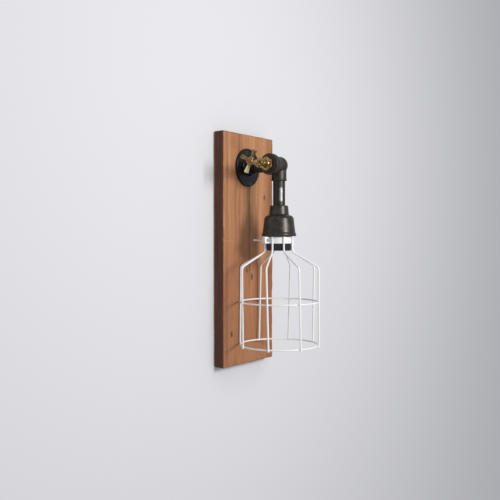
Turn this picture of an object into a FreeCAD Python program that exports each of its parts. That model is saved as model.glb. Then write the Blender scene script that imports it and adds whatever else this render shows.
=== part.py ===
"""Cage wall light: a stained plank carries a pipe flange, a short pipe arm with a tap on its corner
fitting, and a bell reducer that holds a lampholder with a clamped-on wire cage.

Millimetres. Origin at the centre of the plank's back face, +X to the right seen from the front,
+Y into the wall, +Z up. The pieces are built with the arm's axis at X = 0, and save() moves them
sideways to its place on the plank."""

import FreeCAD, Part
import math
import os

V = FreeCAD.Vector
X, Y, Z = V(1, 0, 0), V(0, 1, 0), V(0, 0, 1)

# ---------------------------------------------------------------- driving dimensions
# plank
plank_width = 152.0
plank_thick = 21.5
plank_height = 415.0
plank_round = 1.6
arm_below_top = 60.2        # pipe arm's axis below the plank's top
arm_aside = 7.5             # pipe arm's axis to the left of the plank's middle

# pocket and hole behind the flange
pocket_width = 46.0
pocket_height = 62.0
pocket_depth = 13.0
pocket_above = 20.0         # how far the pocket reaches above the arm's axis
lead_hole_r = 18.0

# keyhole hangers
hanger_inset = 26.0         # hanger's middle to the plank's side
hanger_below_top = 29.5     # head hole to the plank's top
hanger_width = 14.0
hanger_length = 40.0
hanger_thick = 2.0
hanger_head_r = 4.6
hanger_slot_r = 2.3
hanger_slot_rise = 10.0
hanger_pocket_depth = 9.0
hanger_screw_pitch = 31.0
hanger_screw_r = 1.4
hanger_screw_head_r = 2.7
hanger_screw_length = 12.0
hanger_screw_drive_r = 1.6
screw_point = 4.0

# half-inch pipe and its fittings
pipe_r = 10.65
pipe_wall = 2.6
thread_gap = 0.1            # radial room left where a pipe end is screwed into a fitting
engage = 12.0               # length of pipe inside a fitting
fitting_r = 13.0            # plain leg of the corner fitting
fitting_bead_r = 13.7
fitting_bead_length = 3.0
fitting_leg = 27.2          # centre to end
corner_ball_r = 15.3
tap_port_reach = 33.0       # centre to the face of the tap's port
tap_port_r = 18.5
tap_port_band = 11.0
tap_thread_r = 13.0

# flange
flange_r = 34.5
flange_plate = 4.5
flange_edge_round = 1.2
flange_hub_r = 15.2
flange_hub_top_r = 14.0
flange_hub_height = 15.0
flange_hole_circle_r = 27.5
flange_hole_r = 2.4
flange_hole_turn_deg = 15.0
flange_holes = 4
flange_screw_r = 2.2
flange_screw_head_r = 4.4
flange_screw_head = 2.6      # depth of the countersunk head
flange_screw_drive_r = 2.3
flange_screw_length = 12.6
screw_land = 0.3            # straight rim of a countersunk head
screw_gap = 0.05

# bell reducer, heights measured from the arm's axis down
drop_length = 43.1          # visible pipe between the corner fitting and the reducer
reducer_neck_r = 15.9
reducer_neck_low_r = 17.4
reducer_neck_length = 16.2
reducer_shoulder_r = 26.0
reducer_shoulder_drop = 8.8
reducer_skirt_r = 28.8
reducer_skirt_length = 23.9
reducer_bead_r = 30.2
reducer_bead_length = 4.9
reducer_bore_r = 22.4
reducer_bore_depth = 22.5

# lampholder
holder_r = 22.0
holder_below = 25.1         # how far the lampholder stands out of the reducer
holder_wall = 3.0
holder_mouth_r = 16.6
shell_bore_r = 13.4
shell_wall = 0.6
shell_thread_length = 21.0  # wide part of the shell, from its mouth
shell_top_r = 12.5          # bore of the narrower part above it
shell_recess = 3.0          # from the lampholder's lower rim to the shell
insulator_thick = 9.0
cap_height = 9.0
shell_seat = 2.0            # depth of the shell's seat in the insulator
shell_eye_r = 7.5
shell_terminal_r = 10.5
contact_terminal_r = 4.4
contact_width = 3.0
contact_thick = 0.5
contact_drop = 2.6
terminal_r = 1.6
terminal_head_r = 2.6
carrier_thick = 2.0
entry_r = 5.0
entry_bore_r = 3.6
entry_length = 20.0
lock_nut_flats = 14.0
lock_nut_thick = 4.0

# cage
wire_r = 1.6
cage_turn_deg = 25.3            # first upright's foot, clockwise from the front seen from above
cage_body_twist_deg = 3.0       # how much further round the upright is at the shoulder
cage_neck_twist_deg = 9.0       # and again at the neck
cage_wires = 8
cage_body_r = 71.4          # radius of the uprights' centre lines
cage_to_plank = 0.5         # room between the hoops and the plank's front
cage_neck_low = 20.3        # from the collar's middle to the neck bend's corner
cage_shoulder_low = 46.4
cage_middle_low = 108.1
cage_bottom_low = 183.4
cage_wire_tail = 2.6        # how far the uprights stand out below the lowest hoop
cage_wire_rise = 0.4
neck_bend_r = 11.0
shoulder_bend_r = 9.0
ring_wire_r = 1.4
weld_bite = 0.05

# clamp collar
collar_height = 11.5
collar_wall = 1.8
collar_gap = 0.2            # between the lampholder and the collar
collar_below = 1.0          # between the reducer's rim and the collar
collar_split_turn_deg = 103.0
collar_split = 2.4
tab_length = 12.0
clamp_screw_r = 1.5
clamp_screw_head_r = 3.0
clamp_screw_head = 2.0
clamp_screw_length = 35.0
clamp_nut_flats = 5.5
clamp_nut_thick = 2.4
clamp_hole_gap = 0.15

# tap, distances along its axis from the port's face outwards
tap_seal_thick = 1.5
bonnet_skirt_length = 13.0
bonnet_hex_flats = 22.0
bonnet_hex_thick = 6.0
bonnet_barrel_r = 6.2
bonnet_barrel_length = 12.5
bonnet_neck_r = 5.4
bonnet_neck_length = 6.0
gland_flats = 14.0
gland_length = 8.5
gland_cover = 5.0           # how much of the neck the gland nut covers
packing_length = 4.0
packing_r = 4.4
spindle_r = 3.0
spindle_thread_r = 4.0
spindle_thread_length = 16.0
spindle_inner = 7.0         # spindle's inner end, inwards from the port's face
spindle_gap = 0.06
handle_reach = 51.6         # port's face to the middle of the handle
handle_turn_deg = 27.0
handle_hub_r = 6.2
handle_hub_length = 11.0
handle_arm_reach = 20.4
handle_arm_root_r = 2.8
handle_arm_end_r = 4.1
handle_square = 4.6
cap_screw_r = 1.6
cap_screw_head_r = 3.6
cap_screw_head = 1.6
cap_screw_length = 8.0
jumper_plate_r = 6.0
jumper_plate_thick = 2.6
jumper_stem_r = 1.5
jumper_stem_length = 8.0
jumper_gap = 0.5
jumper_play = 0.3           # between the valve plate and the spindle's end
washer_thick = 3.0
washer_r = 5.4
tap_lift = 5.0              # how far the spindle rises over its turns

# wiring
lead_r = 1.1
lead_spread = 1.4           # each lead's distance from the pipe's axis
lead_bend_r = 9.0
lead_depth = 6.0            # leads' distance from the wall in the pocket
lead_in_block = 4.0
lead_rise = 14.0            # how far below the arm's axis a lead turns towards it
lead_above_cap = 3.8        # from the insulator's top to the leads' ends
block_width = 22.0
block_height = 15.0
block_depth = 10.0
block_above = 4.0           # from the pocket's floor to the block
block_pitch = 6.6
block_screw_r = 1.7
earth_offset = 13.4         # earth tag's place below the arm's axis
earth_bend_r = 4.0
earth_cup_floor = 1.6

# ---------------------------------------------------------------- places worked out from them
arm_height = plank_height / 2 - arm_below_top
hanger_x = plank_width / 2 - hanger_inset
hanger_height = plank_height / 2 - hanger_below_top
plank_front = -plank_thick
hoop_out_r = cage_body_r - wire_r + weld_bite
lamp_y = plank_front - cage_to_plank - hoop_out_r
corner = V(0, lamp_y, arm_height)
flange_face = plank_front - flange_plate
corner_low = arm_height - fitting_leg
reducer_top = corner_low - drop_length
reducer_neck_end = reducer_top - reducer_neck_length
reducer_shoulder = reducer_neck_end - reducer_shoulder_drop
reducer_skirt_end = reducer_shoulder - reducer_skirt_length
reducer_rim = reducer_skirt_end - reducer_bead_length
carrier_top = reducer_rim + reducer_bore_depth
holder_low = reducer_rim - holder_below
holder_top = carrier_top - carrier_thick
collar_top = reducer_rim - collar_below
collar_low = collar_top - collar_height
collar_mid = (collar_top + collar_low) / 2
collar_in_r = holder_r + collar_gap
collar_out_r = collar_in_r + collar_wall
cage_neck_r = collar_out_r + wire_r - weld_bite
pipe_bore_r = pipe_r - pipe_wall
block_low = arm_height + pocket_above - pocket_height + block_above
block_top = block_low + block_height
earth_x = block_pitch
socket_r = pipe_r + thread_gap
port_x = -tap_port_reach


# ---------------------------------------------------------------- small builders
def turned(points, origin, axis, side):
    """Solid of revolution whose outline runs through points, given as (radius, distance along axis).
    A point given as (radius, distance, "arc") lies on an arc from the point before to the one after.
    side is a vector square to axis."""
    places = [origin + side * point[0] + axis * point[1] for point in points]
    count, edges, k = len(points), [], 0
    while k < count:
        if len(points[(k + 1) % count]) == 3:
            ends = places[k], places[(k + 1) % count], places[(k + 2) % count]
            edges.append(Part.Arc(*ends).toShape())
            k += 2
        else:
            edges.append(Part.makeLine(places[k], places[(k + 1) % count]))
            k += 1
    return Part.Face(Part.Wire(edges)).revolve(origin, axis, 360)


def turned_z(points, x=0.0, y=None):
    """Solid of revolution about a vertical axis, by default the lamp's; points are (radius, z)."""
    return turned(points, V(x, lamp_y if y is None else y, 0), Z, X)


def turned_tap(points):
    """Solid of revolution about the tap's axis; points are (radius, distance out from the port's face)."""
    return turned(points, V(port_x, lamp_y, arm_height), -X, Z)


def turned_arm(points):
    """Solid of revolution about the arm's axis; points are (radius, distance out from the plank)."""
    return turned(points, V(0, plank_front, arm_height), -Y, X)


def hexagon(flats, origin, axis, length, side):
    """Hexagonal bar from origin along axis, with a corner pointing along side."""
    across = axis.cross(side)
    radius = flats / math.sqrt(3)
    corners = []
    for k in range(6):
        a = math.radians(60 * k)
        corners.append(origin + side * (radius * math.cos(a)) + across * (radius * math.sin(a)))
    return Part.Face(Part.makePolygon(corners + [corners[0]])).extrude(axis * length)


def chamfered_hexagon(flats, origin, axis, length, side, both=True):
    """Hexagonal nut blank whose corners are turned off at one end or both."""
    inner, outer = flats / 2 * 0.98, flats / math.sqrt(3) + 0.01
    drop = (outer - inner) * math.tan(math.radians(30))
    low = [(0, 0), (inner, 0), (outer, drop)] if both else [(0, 0), (outer, 0)]
    cone = turned(low + [(outer, length - drop), (inner, length), (0, length)], origin, axis, side)
    return hexagon(flats, origin, axis, length, side).common(cone)


def box(x0, x1, y0, y1, z0, z1):
    return Part.makeBox(x1 - x0, y1 - y0, z1 - z0, V(x0, y0, z0))


def rod(radius, length, origin, axis):
    return Part.makeCylinder(radius, length, origin, axis)


def bent_path(points, radii):
    """Wire of straight runs joined by tangent arcs: radii holds one bend radius per inner point."""
    edges, start = [], points[0]
    for before, at, after, radius in zip(points, points[1:], points[2:], radii):
        back, on = (before - at).normalize(), (after - at).normalize()
        half = back.getAngle(on) / 2
        reach = radius / math.tan(half)
        to_centre = (back + on).normalize()
        centre = at + to_centre * (radius / math.sin(half))
        a, c = at + back * reach, at + on * reach
        edges.append(Part.LineSegment(start, a).toShape())
        edges.append(Part.Arc(a, centre - to_centre * radius, c).toShape())
        start = c
    edges.append(Part.LineSegment(start, points[-1]).toShape())
    return Part.Wire(edges)


def swept(points, radii, radius):
    """Round wire along a bent path."""
    path = bent_path(points, radii)
    section = Part.Wire(Part.makeCircle(radius, points[0], points[1] - points[0]))
    return path.makePipeShell([section], True, False)


def round_the_lamp(shape, turn):
    """Turns a shape built at the front of the lamp clockwise about the lamp's axis, seen from above."""
    placed = shape.copy()
    placed.rotate(V(0, lamp_y, 0), Z, -turn)
    return placed


def save(name, *solids):
    """Writes a piece, moved from the arm's axis, on which it is built, to its place on the plank."""
    shape = solids[0].copy() if len(solids) == 1 else Part.makeCompound(list(solids))
    shape.translate(V(-arm_aside, 0, 0))
    for solid in shape.Solids:
        if not solid.isValid() or solid.Volume <= 0:
            raise ValueError(name + " holds a bad solid")
    shape.exportStep("parts/" + name + ".step")


# ---------------------------------------------------------------- plank and what fixes it to the wall
def hanger_places():
    return [V(arm_aside + side * hanger_x, 0, hanger_height) for side in (-1, 1)]


def keyhole(at, head_r, slot_r, depth):
    """Keyhole-shaped cutter: a round for the screw's head and a slot above it for the shank."""
    back = V(at.x, 0, at.z)
    head = rod(head_r, depth, back, -Y)
    slot = box(at.x - slot_r, at.x + slot_r, -depth, 0, at.z, at.z + hanger_slot_rise)
    top = rod(slot_r, depth, back + Z * hanger_slot_rise, -Y)
    return head.fuse([slot, top])


def plank():
    left, top = arm_aside - plank_width / 2, plank_height / 2
    board = box(left, left + plank_width, plank_front, 0, -top, top)
    board = board.makeFillet(plank_round, board.Edges)
    pocket_top = arm_height + pocket_above
    cuts = [box(-pocket_width / 2, pocket_width / 2, -pocket_depth, 1, pocket_top - pocket_height,
                pocket_top)]
    cuts.append(rod(lead_hole_r, plank_thick + 2, V(0, 1, arm_height), -Y))
    for at in hanger_places():
        half = hanger_width / 2
        low = at.z - hanger_length / 2 + hanger_slot_rise / 2
        cuts.append(box(at.x - half, at.x + half, -hanger_thick, 1, low, low + hanger_length))
        cuts.append(box(at.x - hanger_head_r - 1, at.x + hanger_head_r + 1, -hanger_pocket_depth, 0,
                        at.z - hanger_head_r - 1, at.z + hanger_slot_rise + hanger_head_r + 1))
        for spot in hanger_screw_places(at):
            cuts.append(rod(hanger_screw_r + screw_gap, hanger_screw_length + 0.5, spot, -Y))
    for spot in flange_screw_places():
        cuts.append(rod(flange_screw_r + screw_gap, flange_screw_length + 0.5, spot, Y))
    return board.cut(cuts)


def hanger_screw_places(at):
    middle = at.z + hanger_slot_rise / 2
    return [V(at.x, 0, middle + side * hanger_screw_pitch / 2) for side in (-1, 1)]


def hanger(at):
    half = hanger_width / 2
    low = at.z - hanger_length / 2 + hanger_slot_rise / 2
    plate = box(at.x - half, at.x + half, -hanger_thick, 0, low, low + hanger_length)
    corners = [e for e in plate.Edges if abs(e.tangentAt(e.FirstParameter).y) > 0.9]
    plate = plate.makeFillet(half * 0.6, corners)
    holes = [keyhole(at, hanger_head_r, hanger_slot_r, hanger_thick + 1)]
    for spot in hanger_screw_places(at):
        holes.append(countersink(spot, -Y, X, hanger_screw_head_r, hanger_screw_r, hanger_thick,
                                 hanger_thick + 1))
    return plate.cut(holes)


def countersink(at, axis, side, head_r, shank_r, head_depth, depth):
    """Cutter for a countersunk screw's head and shank."""
    head, shank = head_r + screw_gap, shank_r + screw_gap
    return turned([(0, -1), (head, -1), (head, screw_land), (shank, head_depth), (shank, depth),
                   (0, depth)],
                  at, axis, side)


def countersunk_screw(at, axis, side, head_r, shank_r, head_depth, length, point, drive_r):
    """Countersunk wood screw whose flat head lies at the given point and whose shank runs along axis."""
    profile = [(0, 0), (head_r, 0), (head_r, screw_land), (shank_r, head_depth),
               (shank_r, length - point),
               (0, length)]
    screw = turned(profile, at, axis, side)
    across = axis.cross(side)
    reach, width, depth = drive_r, drive_r * 0.3, head_depth * 0.55
    cross = []
    for along, over in ((side, across), (across, side)):
        start = at - along * reach - over * (width / 2) - axis * 0.5
        corner_a, corner_b = start, start + along * (2 * reach)
        corner_c, corner_d = corner_b + over * width, start + over * width
        slot = Part.Face(Part.makePolygon([corner_a, corner_b, corner_c, corner_d, corner_a]))
        cross.append(slot.extrude(axis * (depth + 0.5)))
    return screw.cut(cross)


def hanger_screws():
    screws = []
    for at in hanger_places():
        for spot in hanger_screw_places(at):
            screws.append(countersunk_screw(spot, -Y, X, hanger_screw_head_r, hanger_screw_r,
                                            hanger_thick,
                                            hanger_screw_length, screw_point, hanger_screw_drive_r))
    return screws


# ---------------------------------------------------------------- flange, pipes and the corner fitting
def flange_screw_places():
    places = []
    for k in range(flange_holes):
        a = math.radians(90 + flange_hole_turn_deg + k * 360 / flange_holes)
        places.append(V(flange_hole_circle_r * math.cos(a), flange_face,
                        arm_height + flange_hole_circle_r * math.sin(a)))
    return places


def floor_flange():
    """Cast disc with a tapered hub, a rounded root, and four countersunk holes."""
    e = flange_edge_round
    root = flange_hub_r + 4.0
    outline = [(socket_r, 0), (flange_r - 0.3, 0), (flange_r, e), (flange_r, flange_plate - e),
               (flange_r - e, flange_plate), (root, flange_plate + 0.3),
               (root - 2.9, flange_plate + 1.1, "arc"), (flange_hub_r, flange_plate + 3.6),
               (flange_hub_top_r + 0.4, flange_hub_height - 1.2),
               (flange_hub_top_r - 0.6, flange_hub_height), (socket_r, flange_hub_height)]
    flange = turned_arm(outline)
    cuts = []
    for spot in flange_screw_places():
        cuts.append(rod(flange_hole_r, flange_plate + 1, spot, Y))
        cuts.append(countersink(spot, Y, X, flange_screw_head_r, flange_screw_r, flange_screw_head,
                                flange_plate))
    cuts.append(rod(1.3, 3.2, V(0, plank_front, arm_height - earth_offset), -Y))
    return flange.cut(cuts)


def flange_screws():
    return [countersunk_screw(spot, Y, X, flange_screw_head_r, flange_screw_r, flange_screw_head,
                              flange_screw_length, screw_point, flange_screw_drive_r)
            for spot in flange_screw_places()]


def pipe(origin, axis, side, length):
    """Black iron nipple with a chamfer at each threaded end."""
    c = 1.0
    outline = [(pipe_bore_r, 0), (pipe_r - c, 0), (pipe_r, c), (pipe_r, length - c),
               (pipe_r - c, length), (pipe_bore_r, length)]
    return turned(outline, origin, axis, side)


def arm_nipple():
    start = plank_front - flange_hub_height + engage
    end = lamp_y + fitting_leg - engage
    return pipe(V(0, start, arm_height), -Y, X, start - end)


def drop_nipple():
    start = corner_low + engage
    end = reducer_top - engage
    return pipe(V(0, lamp_y, start), -Z, X, start - end)


def fitting_leg_outline():
    b = fitting_bead_length
    return [(0, 0), (fitting_r, 0), (fitting_r, fitting_leg - b),
            (fitting_bead_r, fitting_leg - b * 0.75),
            (fitting_bead_r, fitting_leg - 0.7), (fitting_bead_r - 0.7, fitting_leg), (0, fitting_leg)]


def corner_fitting():
    """Side-outlet elbow: a ball with one leg to the wall, one leg down and a wide port for the tap."""
    ball = Part.makeSphere(corner_ball_r, corner)
    back = turned(fitting_leg_outline(), corner, Y, X)
    down = turned(fitting_leg_outline(), corner, -Z, X)
    band = tap_port_reach - tap_port_band
    port = turned([(0, 0), (corner_ball_r - 1.2, 0), (corner_ball_r - 0.6, band - 7),
                   (tap_port_r - 1.2, band - 0.8),
                   (tap_port_r, band + 0.8), (tap_port_r, tap_port_reach - 1.0),
                   (tap_port_r - 1.0, tap_port_reach),
                   (0, tap_port_reach)], corner, -X, Z)
    body = ball.fuse([back, down, port])
    inner = pipe_bore_r + 0.6
    cuts = [Part.makeSphere(inner + 2.2, corner)]
    for axis in (Y, -Z):
        cuts.append(rod(inner, fitting_leg + 1, corner, axis))
        cuts.append(rod(socket_r, engage + 2.0, corner + axis * (fitting_leg - engage - 1.0), axis))
    cuts.append(rod(tap_thread_r - 2.0, tap_port_reach, corner, -X))
    cuts.append(rod(tap_thread_r + thread_gap, bonnet_skirt_length + 2.0,
                    corner - X * (tap_port_reach - bonnet_skirt_length - 1.0), -X))
    return body.cut(cuts)


def bell_reducer():
    """Reducing socket: short neck, rounded shoulder, tapered skirt and a beaded rim."""
    neck = reducer_neck_low_r
    round_r = reducer_shoulder_r - neck
    share = math.sqrt(0.5)
    shoulder = [(neck + 1.6 + (round_r - 1.6) * share,
                 reducer_neck_end - 0.8 - (reducer_shoulder_drop - 0.8) * (1 - share), "arc"),
                (reducer_shoulder_r, reducer_shoulder)]
    bead = reducer_skirt_end
    bore_end = reducer_top - engage - 1.0
    cone_low = reducer_rim + reducer_bore_depth
    outline = [(socket_r, reducer_top), (reducer_neck_r - 0.8, reducer_top),
               (reducer_neck_r, reducer_top - 0.8),
               (neck, reducer_neck_end + 0.8), (neck + 1.6, reducer_neck_end - 0.8)]
    outline += shoulder
    outline += [(reducer_skirt_r - 0.1, bead + 1.6), (reducer_bead_r - 0.5, bead + 0.1),
                (reducer_bead_r, bead - 0.9),
                (reducer_bead_r, reducer_rim + 0.9), (reducer_bead_r - 0.9, reducer_rim),
                (reducer_bore_r, reducer_rim), (reducer_bore_r, cone_low),
                (pipe_bore_r + 2.0, bore_end - 3.0),
                (pipe_bore_r + 0.6, bore_end), (socket_r, bore_end)]
    return turned_z(outline)


# ---------------------------------------------------------------- tap
def tap_seal():
    return turned_tap([(tap_thread_r + 0.1, 0), (tap_thread_r + 0.1, tap_seal_thick),
                       (tap_port_r - 3.6, tap_seal_thick), (tap_port_r - 3.6, 0)])


def bonnet_faces():
    """Distances of the bonnet's steps out from the port's face."""
    hex_low = tap_seal_thick
    hex_top = hex_low + bonnet_hex_thick
    barrel_top = hex_top + bonnet_barrel_length
    return hex_low, hex_top, barrel_top, barrel_top + bonnet_neck_length


def tap_bonnet():
    """Headwork: threaded skirt inside the port, hexagon, barrel, and a neck for the gland nut."""
    hex_low, hex_top, barrel_top, neck_top = bonnet_faces()
    skirt = turned_tap([(0, -bonnet_skirt_length), (tap_thread_r - 0.8, -bonnet_skirt_length),
                        (tap_thread_r, -bonnet_skirt_length + 0.8), (tap_thread_r, hex_low),
                        (tap_port_r - 4.0, hex_low), (tap_port_r - 4.0, hex_low + 1.8),
                        (0, hex_low + 1.8)])
    nut = chamfered_hexagon(bonnet_hex_flats, V(port_x - hex_low - 1.8, lamp_y, arm_height), -X,
                            bonnet_hex_thick - 1.8, Z)
    r = bonnet_barrel_r
    barrel = turned_tap([(0, hex_top - 0.1), (r + 2.2, hex_top - 0.1), (r + 0.6, hex_top + 1.8),
                         (r, hex_top + 4.0),
                         (r, barrel_top - 2.6), (r + 1.0, barrel_top - 2.0), (r + 1.0, barrel_top - 0.6),
                         (r, barrel_top), (bonnet_neck_r, barrel_top), (bonnet_neck_r, neck_top),
                         (0, neck_top)])
    body = skirt.fuse([nut, barrel])
    thread_bore = spindle_thread_r + spindle_gap
    thread_start = jumper_face() + tap_lift + jumper_gap
    thread_end = spindle_thread_length - spindle_inner + tap_lift + 1.0
    bores = [turned_tap([(0, -bonnet_skirt_length - 1),
                         (jumper_plate_r + jumper_gap, -bonnet_skirt_length - 1),
                         (jumper_plate_r + jumper_gap, thread_start), (0, thread_start)]),
             turned_tap([(0, thread_start - 1), (thread_bore, thread_start - 1),
                         (thread_bore, thread_end),
                         (0, thread_end)]),
             turned_tap([(0, thread_end - 1), (spindle_r + spindle_gap, thread_end - 1),
                         (spindle_r + spindle_gap, neck_top), (0, neck_top)]),
             turned_tap([(0, neck_top - packing_length), (packing_r, neck_top - packing_length),
                         (packing_r, neck_top + 1), (0, neck_top + 1)])]
    return body.cut(bores)


def jumper_face():
    """Distance of the valve plate's outer face out from the port's face, at rest."""
    return -spindle_inner - jumper_play


def gland_packing():
    neck_top = bonnet_faces()[3]
    inner = spindle_r + spindle_gap
    return turned_tap([(inner, neck_top - packing_length), (packing_r - 0.05, neck_top - packing_length),
                       (packing_r - 0.05, neck_top), (inner, neck_top)])


def gland_nut():
    neck_top = bonnet_faces()[3]
    low = neck_top - gland_cover
    nut = chamfered_hexagon(gland_flats, V(port_x - low, lamp_y, arm_height), -X, gland_length, Z)
    dome = turned_tap([(0, low), (gland_flats, low), (gland_flats, low + gland_length - 2.4),
                       (gland_flats / 2 - 0.2, low + gland_length - 1.8),
                       (gland_flats / 2 - 1.6, low + gland_length), (0, low + gland_length)])
    bores = [turned_tap([(0, low - 1), (bonnet_neck_r + 0.05, low - 1), (bonnet_neck_r + 0.05, neck_top),
                         (0, neck_top)]),
             turned_tap([(0, low), (spindle_r + 0.2, low), (spindle_r + 0.2, low + gland_length + 1),
                         (0, low + gland_length + 1)])]
    return nut.common(dome).cut(bores)


def handle_face():
    """Distance of the handle's inner face out from the port's face."""
    return handle_reach - handle_hub_length / 2


def tap_spindle():
    """Spindle: threaded part inside the bonnet, plain stem through the gland, square end in the handle."""
    inner, thread_end = -spindle_inner, spindle_thread_length - spindle_inner
    square_end = handle_reach + handle_hub_length / 2 - 2.0
    body = turned_tap([(0, inner), (spindle_thread_r - 0.5, inner), (spindle_thread_r, inner + 0.5),
                       (spindle_thread_r, thread_end), (spindle_r, thread_end + 1.0),
                       (spindle_r, handle_face()),
                       (0, handle_face())])
    half = (handle_square - 0.1) / 2
    square = box(-half, half, -half, half, 0, square_end - handle_face() + 1.0)
    square.rotate(V(0, 0, 0), Z, handle_turn_deg)
    square.rotate(V(0, 0, 0), Y, -90)
    square.translate(V(port_x - handle_face() + 1.0, lamp_y, arm_height))
    tip = turned_tap([(0, handle_face() - 1), (spindle_r, handle_face() - 1), (spindle_r, square_end),
                      (0, square_end)])
    body = body.fuse(square.common(tip))
    bores = [turned_tap([(0, inner - 1), (jumper_stem_r + 0.1, inner - 1), (jumper_stem_r + 0.1,
                         inner + jumper_stem_length + 0.6), (0, inner + jumper_stem_length + 0.6)]),
             turned_tap([(0, square_end - cap_screw_length), (cap_screw_r, square_end - cap_screw_length),
                         (cap_screw_r, square_end + 1), (0, square_end + 1)])]
    return body.cut(bores)


def cross_handle():
    """Hub with four bell-ended arms, bored square for the spindle."""
    low, top = handle_face(), handle_reach + handle_hub_length / 2
    r = handle_hub_r
    hub = turned_tap([(0, low), (r - 1.8, low), (r - 1.0, low + 1.6), (r, low + 3.0), (r, top - 2.4),
                      (r - 0.5, top - 1.0), (r - 1.6, top), (0, top)])
    centre = V(port_x - handle_reach, lamp_y, arm_height)
    arms = []
    root, end, reach = handle_arm_root_r, handle_arm_end_r, handle_arm_reach
    start = root + 1.0
    for k in range(4):
        a = math.radians(handle_turn_deg + 90 * k)
        out = V(0, -math.sin(a), math.cos(a))
        arms.append(turned([(0, start), (root + 0.8, start), (root + 0.5, r), (root, r + 1.6),
                            (root + 0.3, r + 4.0),
                            (end - 0.5, reach - 3.6), (end, reach - 1.2), (end - 0.3, reach - 0.4),
                            (end - 0.9, reach), (0, reach + 0.3)], centre, out, X))
    body = hub.fuse(arms)
    half = handle_square / 2
    hole = box(-half, half, -half, half, 0, top - low - 2.0)
    hole.rotate(V(0, 0, 0), Z, handle_turn_deg)
    hole.rotate(V(0, 0, 0), Y, -90)
    hole.translate(V(port_x - low, lamp_y, arm_height))
    screw_hole = turned_tap([(0, low), (cap_screw_r + 0.1, low), (cap_screw_r + 0.1, top + 1),
                             (0, top + 1)])
    mouth = turned_tap([(0, low - 1), (spindle_r + 0.15, low - 1), (spindle_r + 0.15, low + 0.1),
                        (0, low + 0.1)])
    return body.cut([hole, screw_hole, mouth])


def handle_screw():
    """Dome-headed screw that holds the handle on the spindle."""
    top = handle_reach + handle_hub_length / 2
    r, h = cap_screw_head_r, cap_screw_head
    end = top - 2.0 - cap_screw_length + 0.6
    screw = turned_tap([(0, end), (cap_screw_r - 0.05, end), (cap_screw_r - 0.05, top), (r, top),
                        (r, top + h * 0.4), (r * 0.72, top + h * 0.82), (0, top + h)])
    slot = box(port_x - top - h - 1, port_x - top - h * 0.45, lamp_y - r, lamp_y + r,
               arm_height - 0.4, arm_height + 0.4)
    return screw.cut(slot)


def tap_jumper():
    """Valve plate with its stem in the spindle's end and a threaded pin for the washer."""
    face = jumper_face()
    plate = face - jumper_plate_thick
    return turned_tap([(0, face + jumper_stem_length), (jumper_stem_r, face + jumper_stem_length),
                       (jumper_stem_r, face), (jumper_plate_r - 0.4, face), (jumper_plate_r, face - 0.4),
                       (jumper_plate_r, plate), (jumper_stem_r, plate),
                       (jumper_stem_r, plate - washer_thick - 1.6),
                       (0, plate - washer_thick - 1.6)])


def tap_washer():
    low = jumper_face() - jumper_plate_thick
    return turned_tap([(jumper_stem_r, low), (washer_r, low), (washer_r, low - washer_thick + 0.6),
                       (washer_r - 0.6, low - washer_thick), (jumper_stem_r, low - washer_thick)])


# ---------------------------------------------------------------- lampholder
def holder_carrier():
    r = reducer_bore_r - 0.05
    return turned_z([(entry_r + 0.05, holder_top), (r, holder_top), (r, carrier_top),
                     (entry_r + 0.05, carrier_top)])


def entry_tube():
    low = holder_top - cap_height + 2.0
    return turned_z([(entry_bore_r, low), (entry_r, low), (entry_r, low + entry_length),
                     (entry_bore_r, low + entry_length)])


def lock_nut():
    nut = chamfered_hexagon(lock_nut_flats, V(0, lamp_y, carrier_top), Z, lock_nut_thick, X, both=False)
    return nut.cut(rod(entry_r + 0.05, lock_nut_thick + 2, V(0, lamp_y, carrier_top - 1), Z))


def holder_cap():
    """Upper half of the lampholder: a domed cap with the threaded entry in its crown."""
    low, top = holder_top - cap_height, holder_top
    r, bore = holder_r, entry_r + 0.05
    return turned_z([(bore, top), (12.0, top), (r - 3.0, top - 1.6), (r - 0.4, top - 4.2), (r - 0.4, low),
                     (r - holder_wall, low), (r - holder_wall, top - 5.4), (10.0, top - 3.4),
                     (bore, top - 3.4)])


def holder_skirt():
    """Lower half of the lampholder: a plain round skirt with a ledge that carries the insulator."""
    top = holder_top - cap_height
    r, m = holder_r, holder_mouth_r
    ledge = top - insulator_thick
    return turned_z([(r - holder_wall, top), (r, top), (r, holder_low + 1.4), (r - 0.5, holder_low + 0.4),
                     (r - 1.4, holder_low), (m + 0.8, holder_low), (m, holder_low + 0.8),
                     (m, ledge), (r - holder_wall, ledge)])


def insulator_faces():
    top = holder_top - cap_height
    return top - insulator_thick, top


def terminal_places():
    """One terminal holds the shell's turned-in top, the other the foot of the centre contact."""
    top = insulator_faces()[1]
    return [V(0, lamp_y + shell_terminal_r, top), V(-contact_terminal_r, lamp_y, top)]


def holder_insulator():
    """Ceramic disc that carries the threaded shell, the contact and the terminals."""
    low, top = insulator_faces()
    r = holder_r - holder_wall - 0.1
    seat = shell_top_r + shell_wall + screw_gap
    disc = turned_z([(0, top), (r - 0.6, top), (r, top - 0.6), (r, low), (seat, low),
                     (seat, low + shell_seat),
                     (0, low + shell_seat)])
    return disc.cut([rod(terminal_r, insulator_thick + 2, at - Z * (insulator_thick + 1), Z)
                     for at in terminal_places()])


def thread_shell():
    """Screw shell that takes the lamp cap: a wide part, a step, and a top held by its terminal."""
    low = holder_low + shell_recess
    top = insulator_faces()[0] + shell_seat
    step = low + shell_thread_length
    wall, r, top_r = shell_wall, shell_bore_r, shell_top_r
    shell = turned_z([(r, low), (r + wall, low), (r + wall, step + wall), (top_r + wall, step + 2 * wall),
                      (top_r + wall, top), (shell_eye_r, top), (shell_eye_r, top - wall),
                      (top_r, top - wall),
                      (top_r, step + wall), (r, step)])
    return shell.cut(rod(terminal_r, 4, terminal_places()[0] - Z * insulator_thick, Z))


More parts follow.
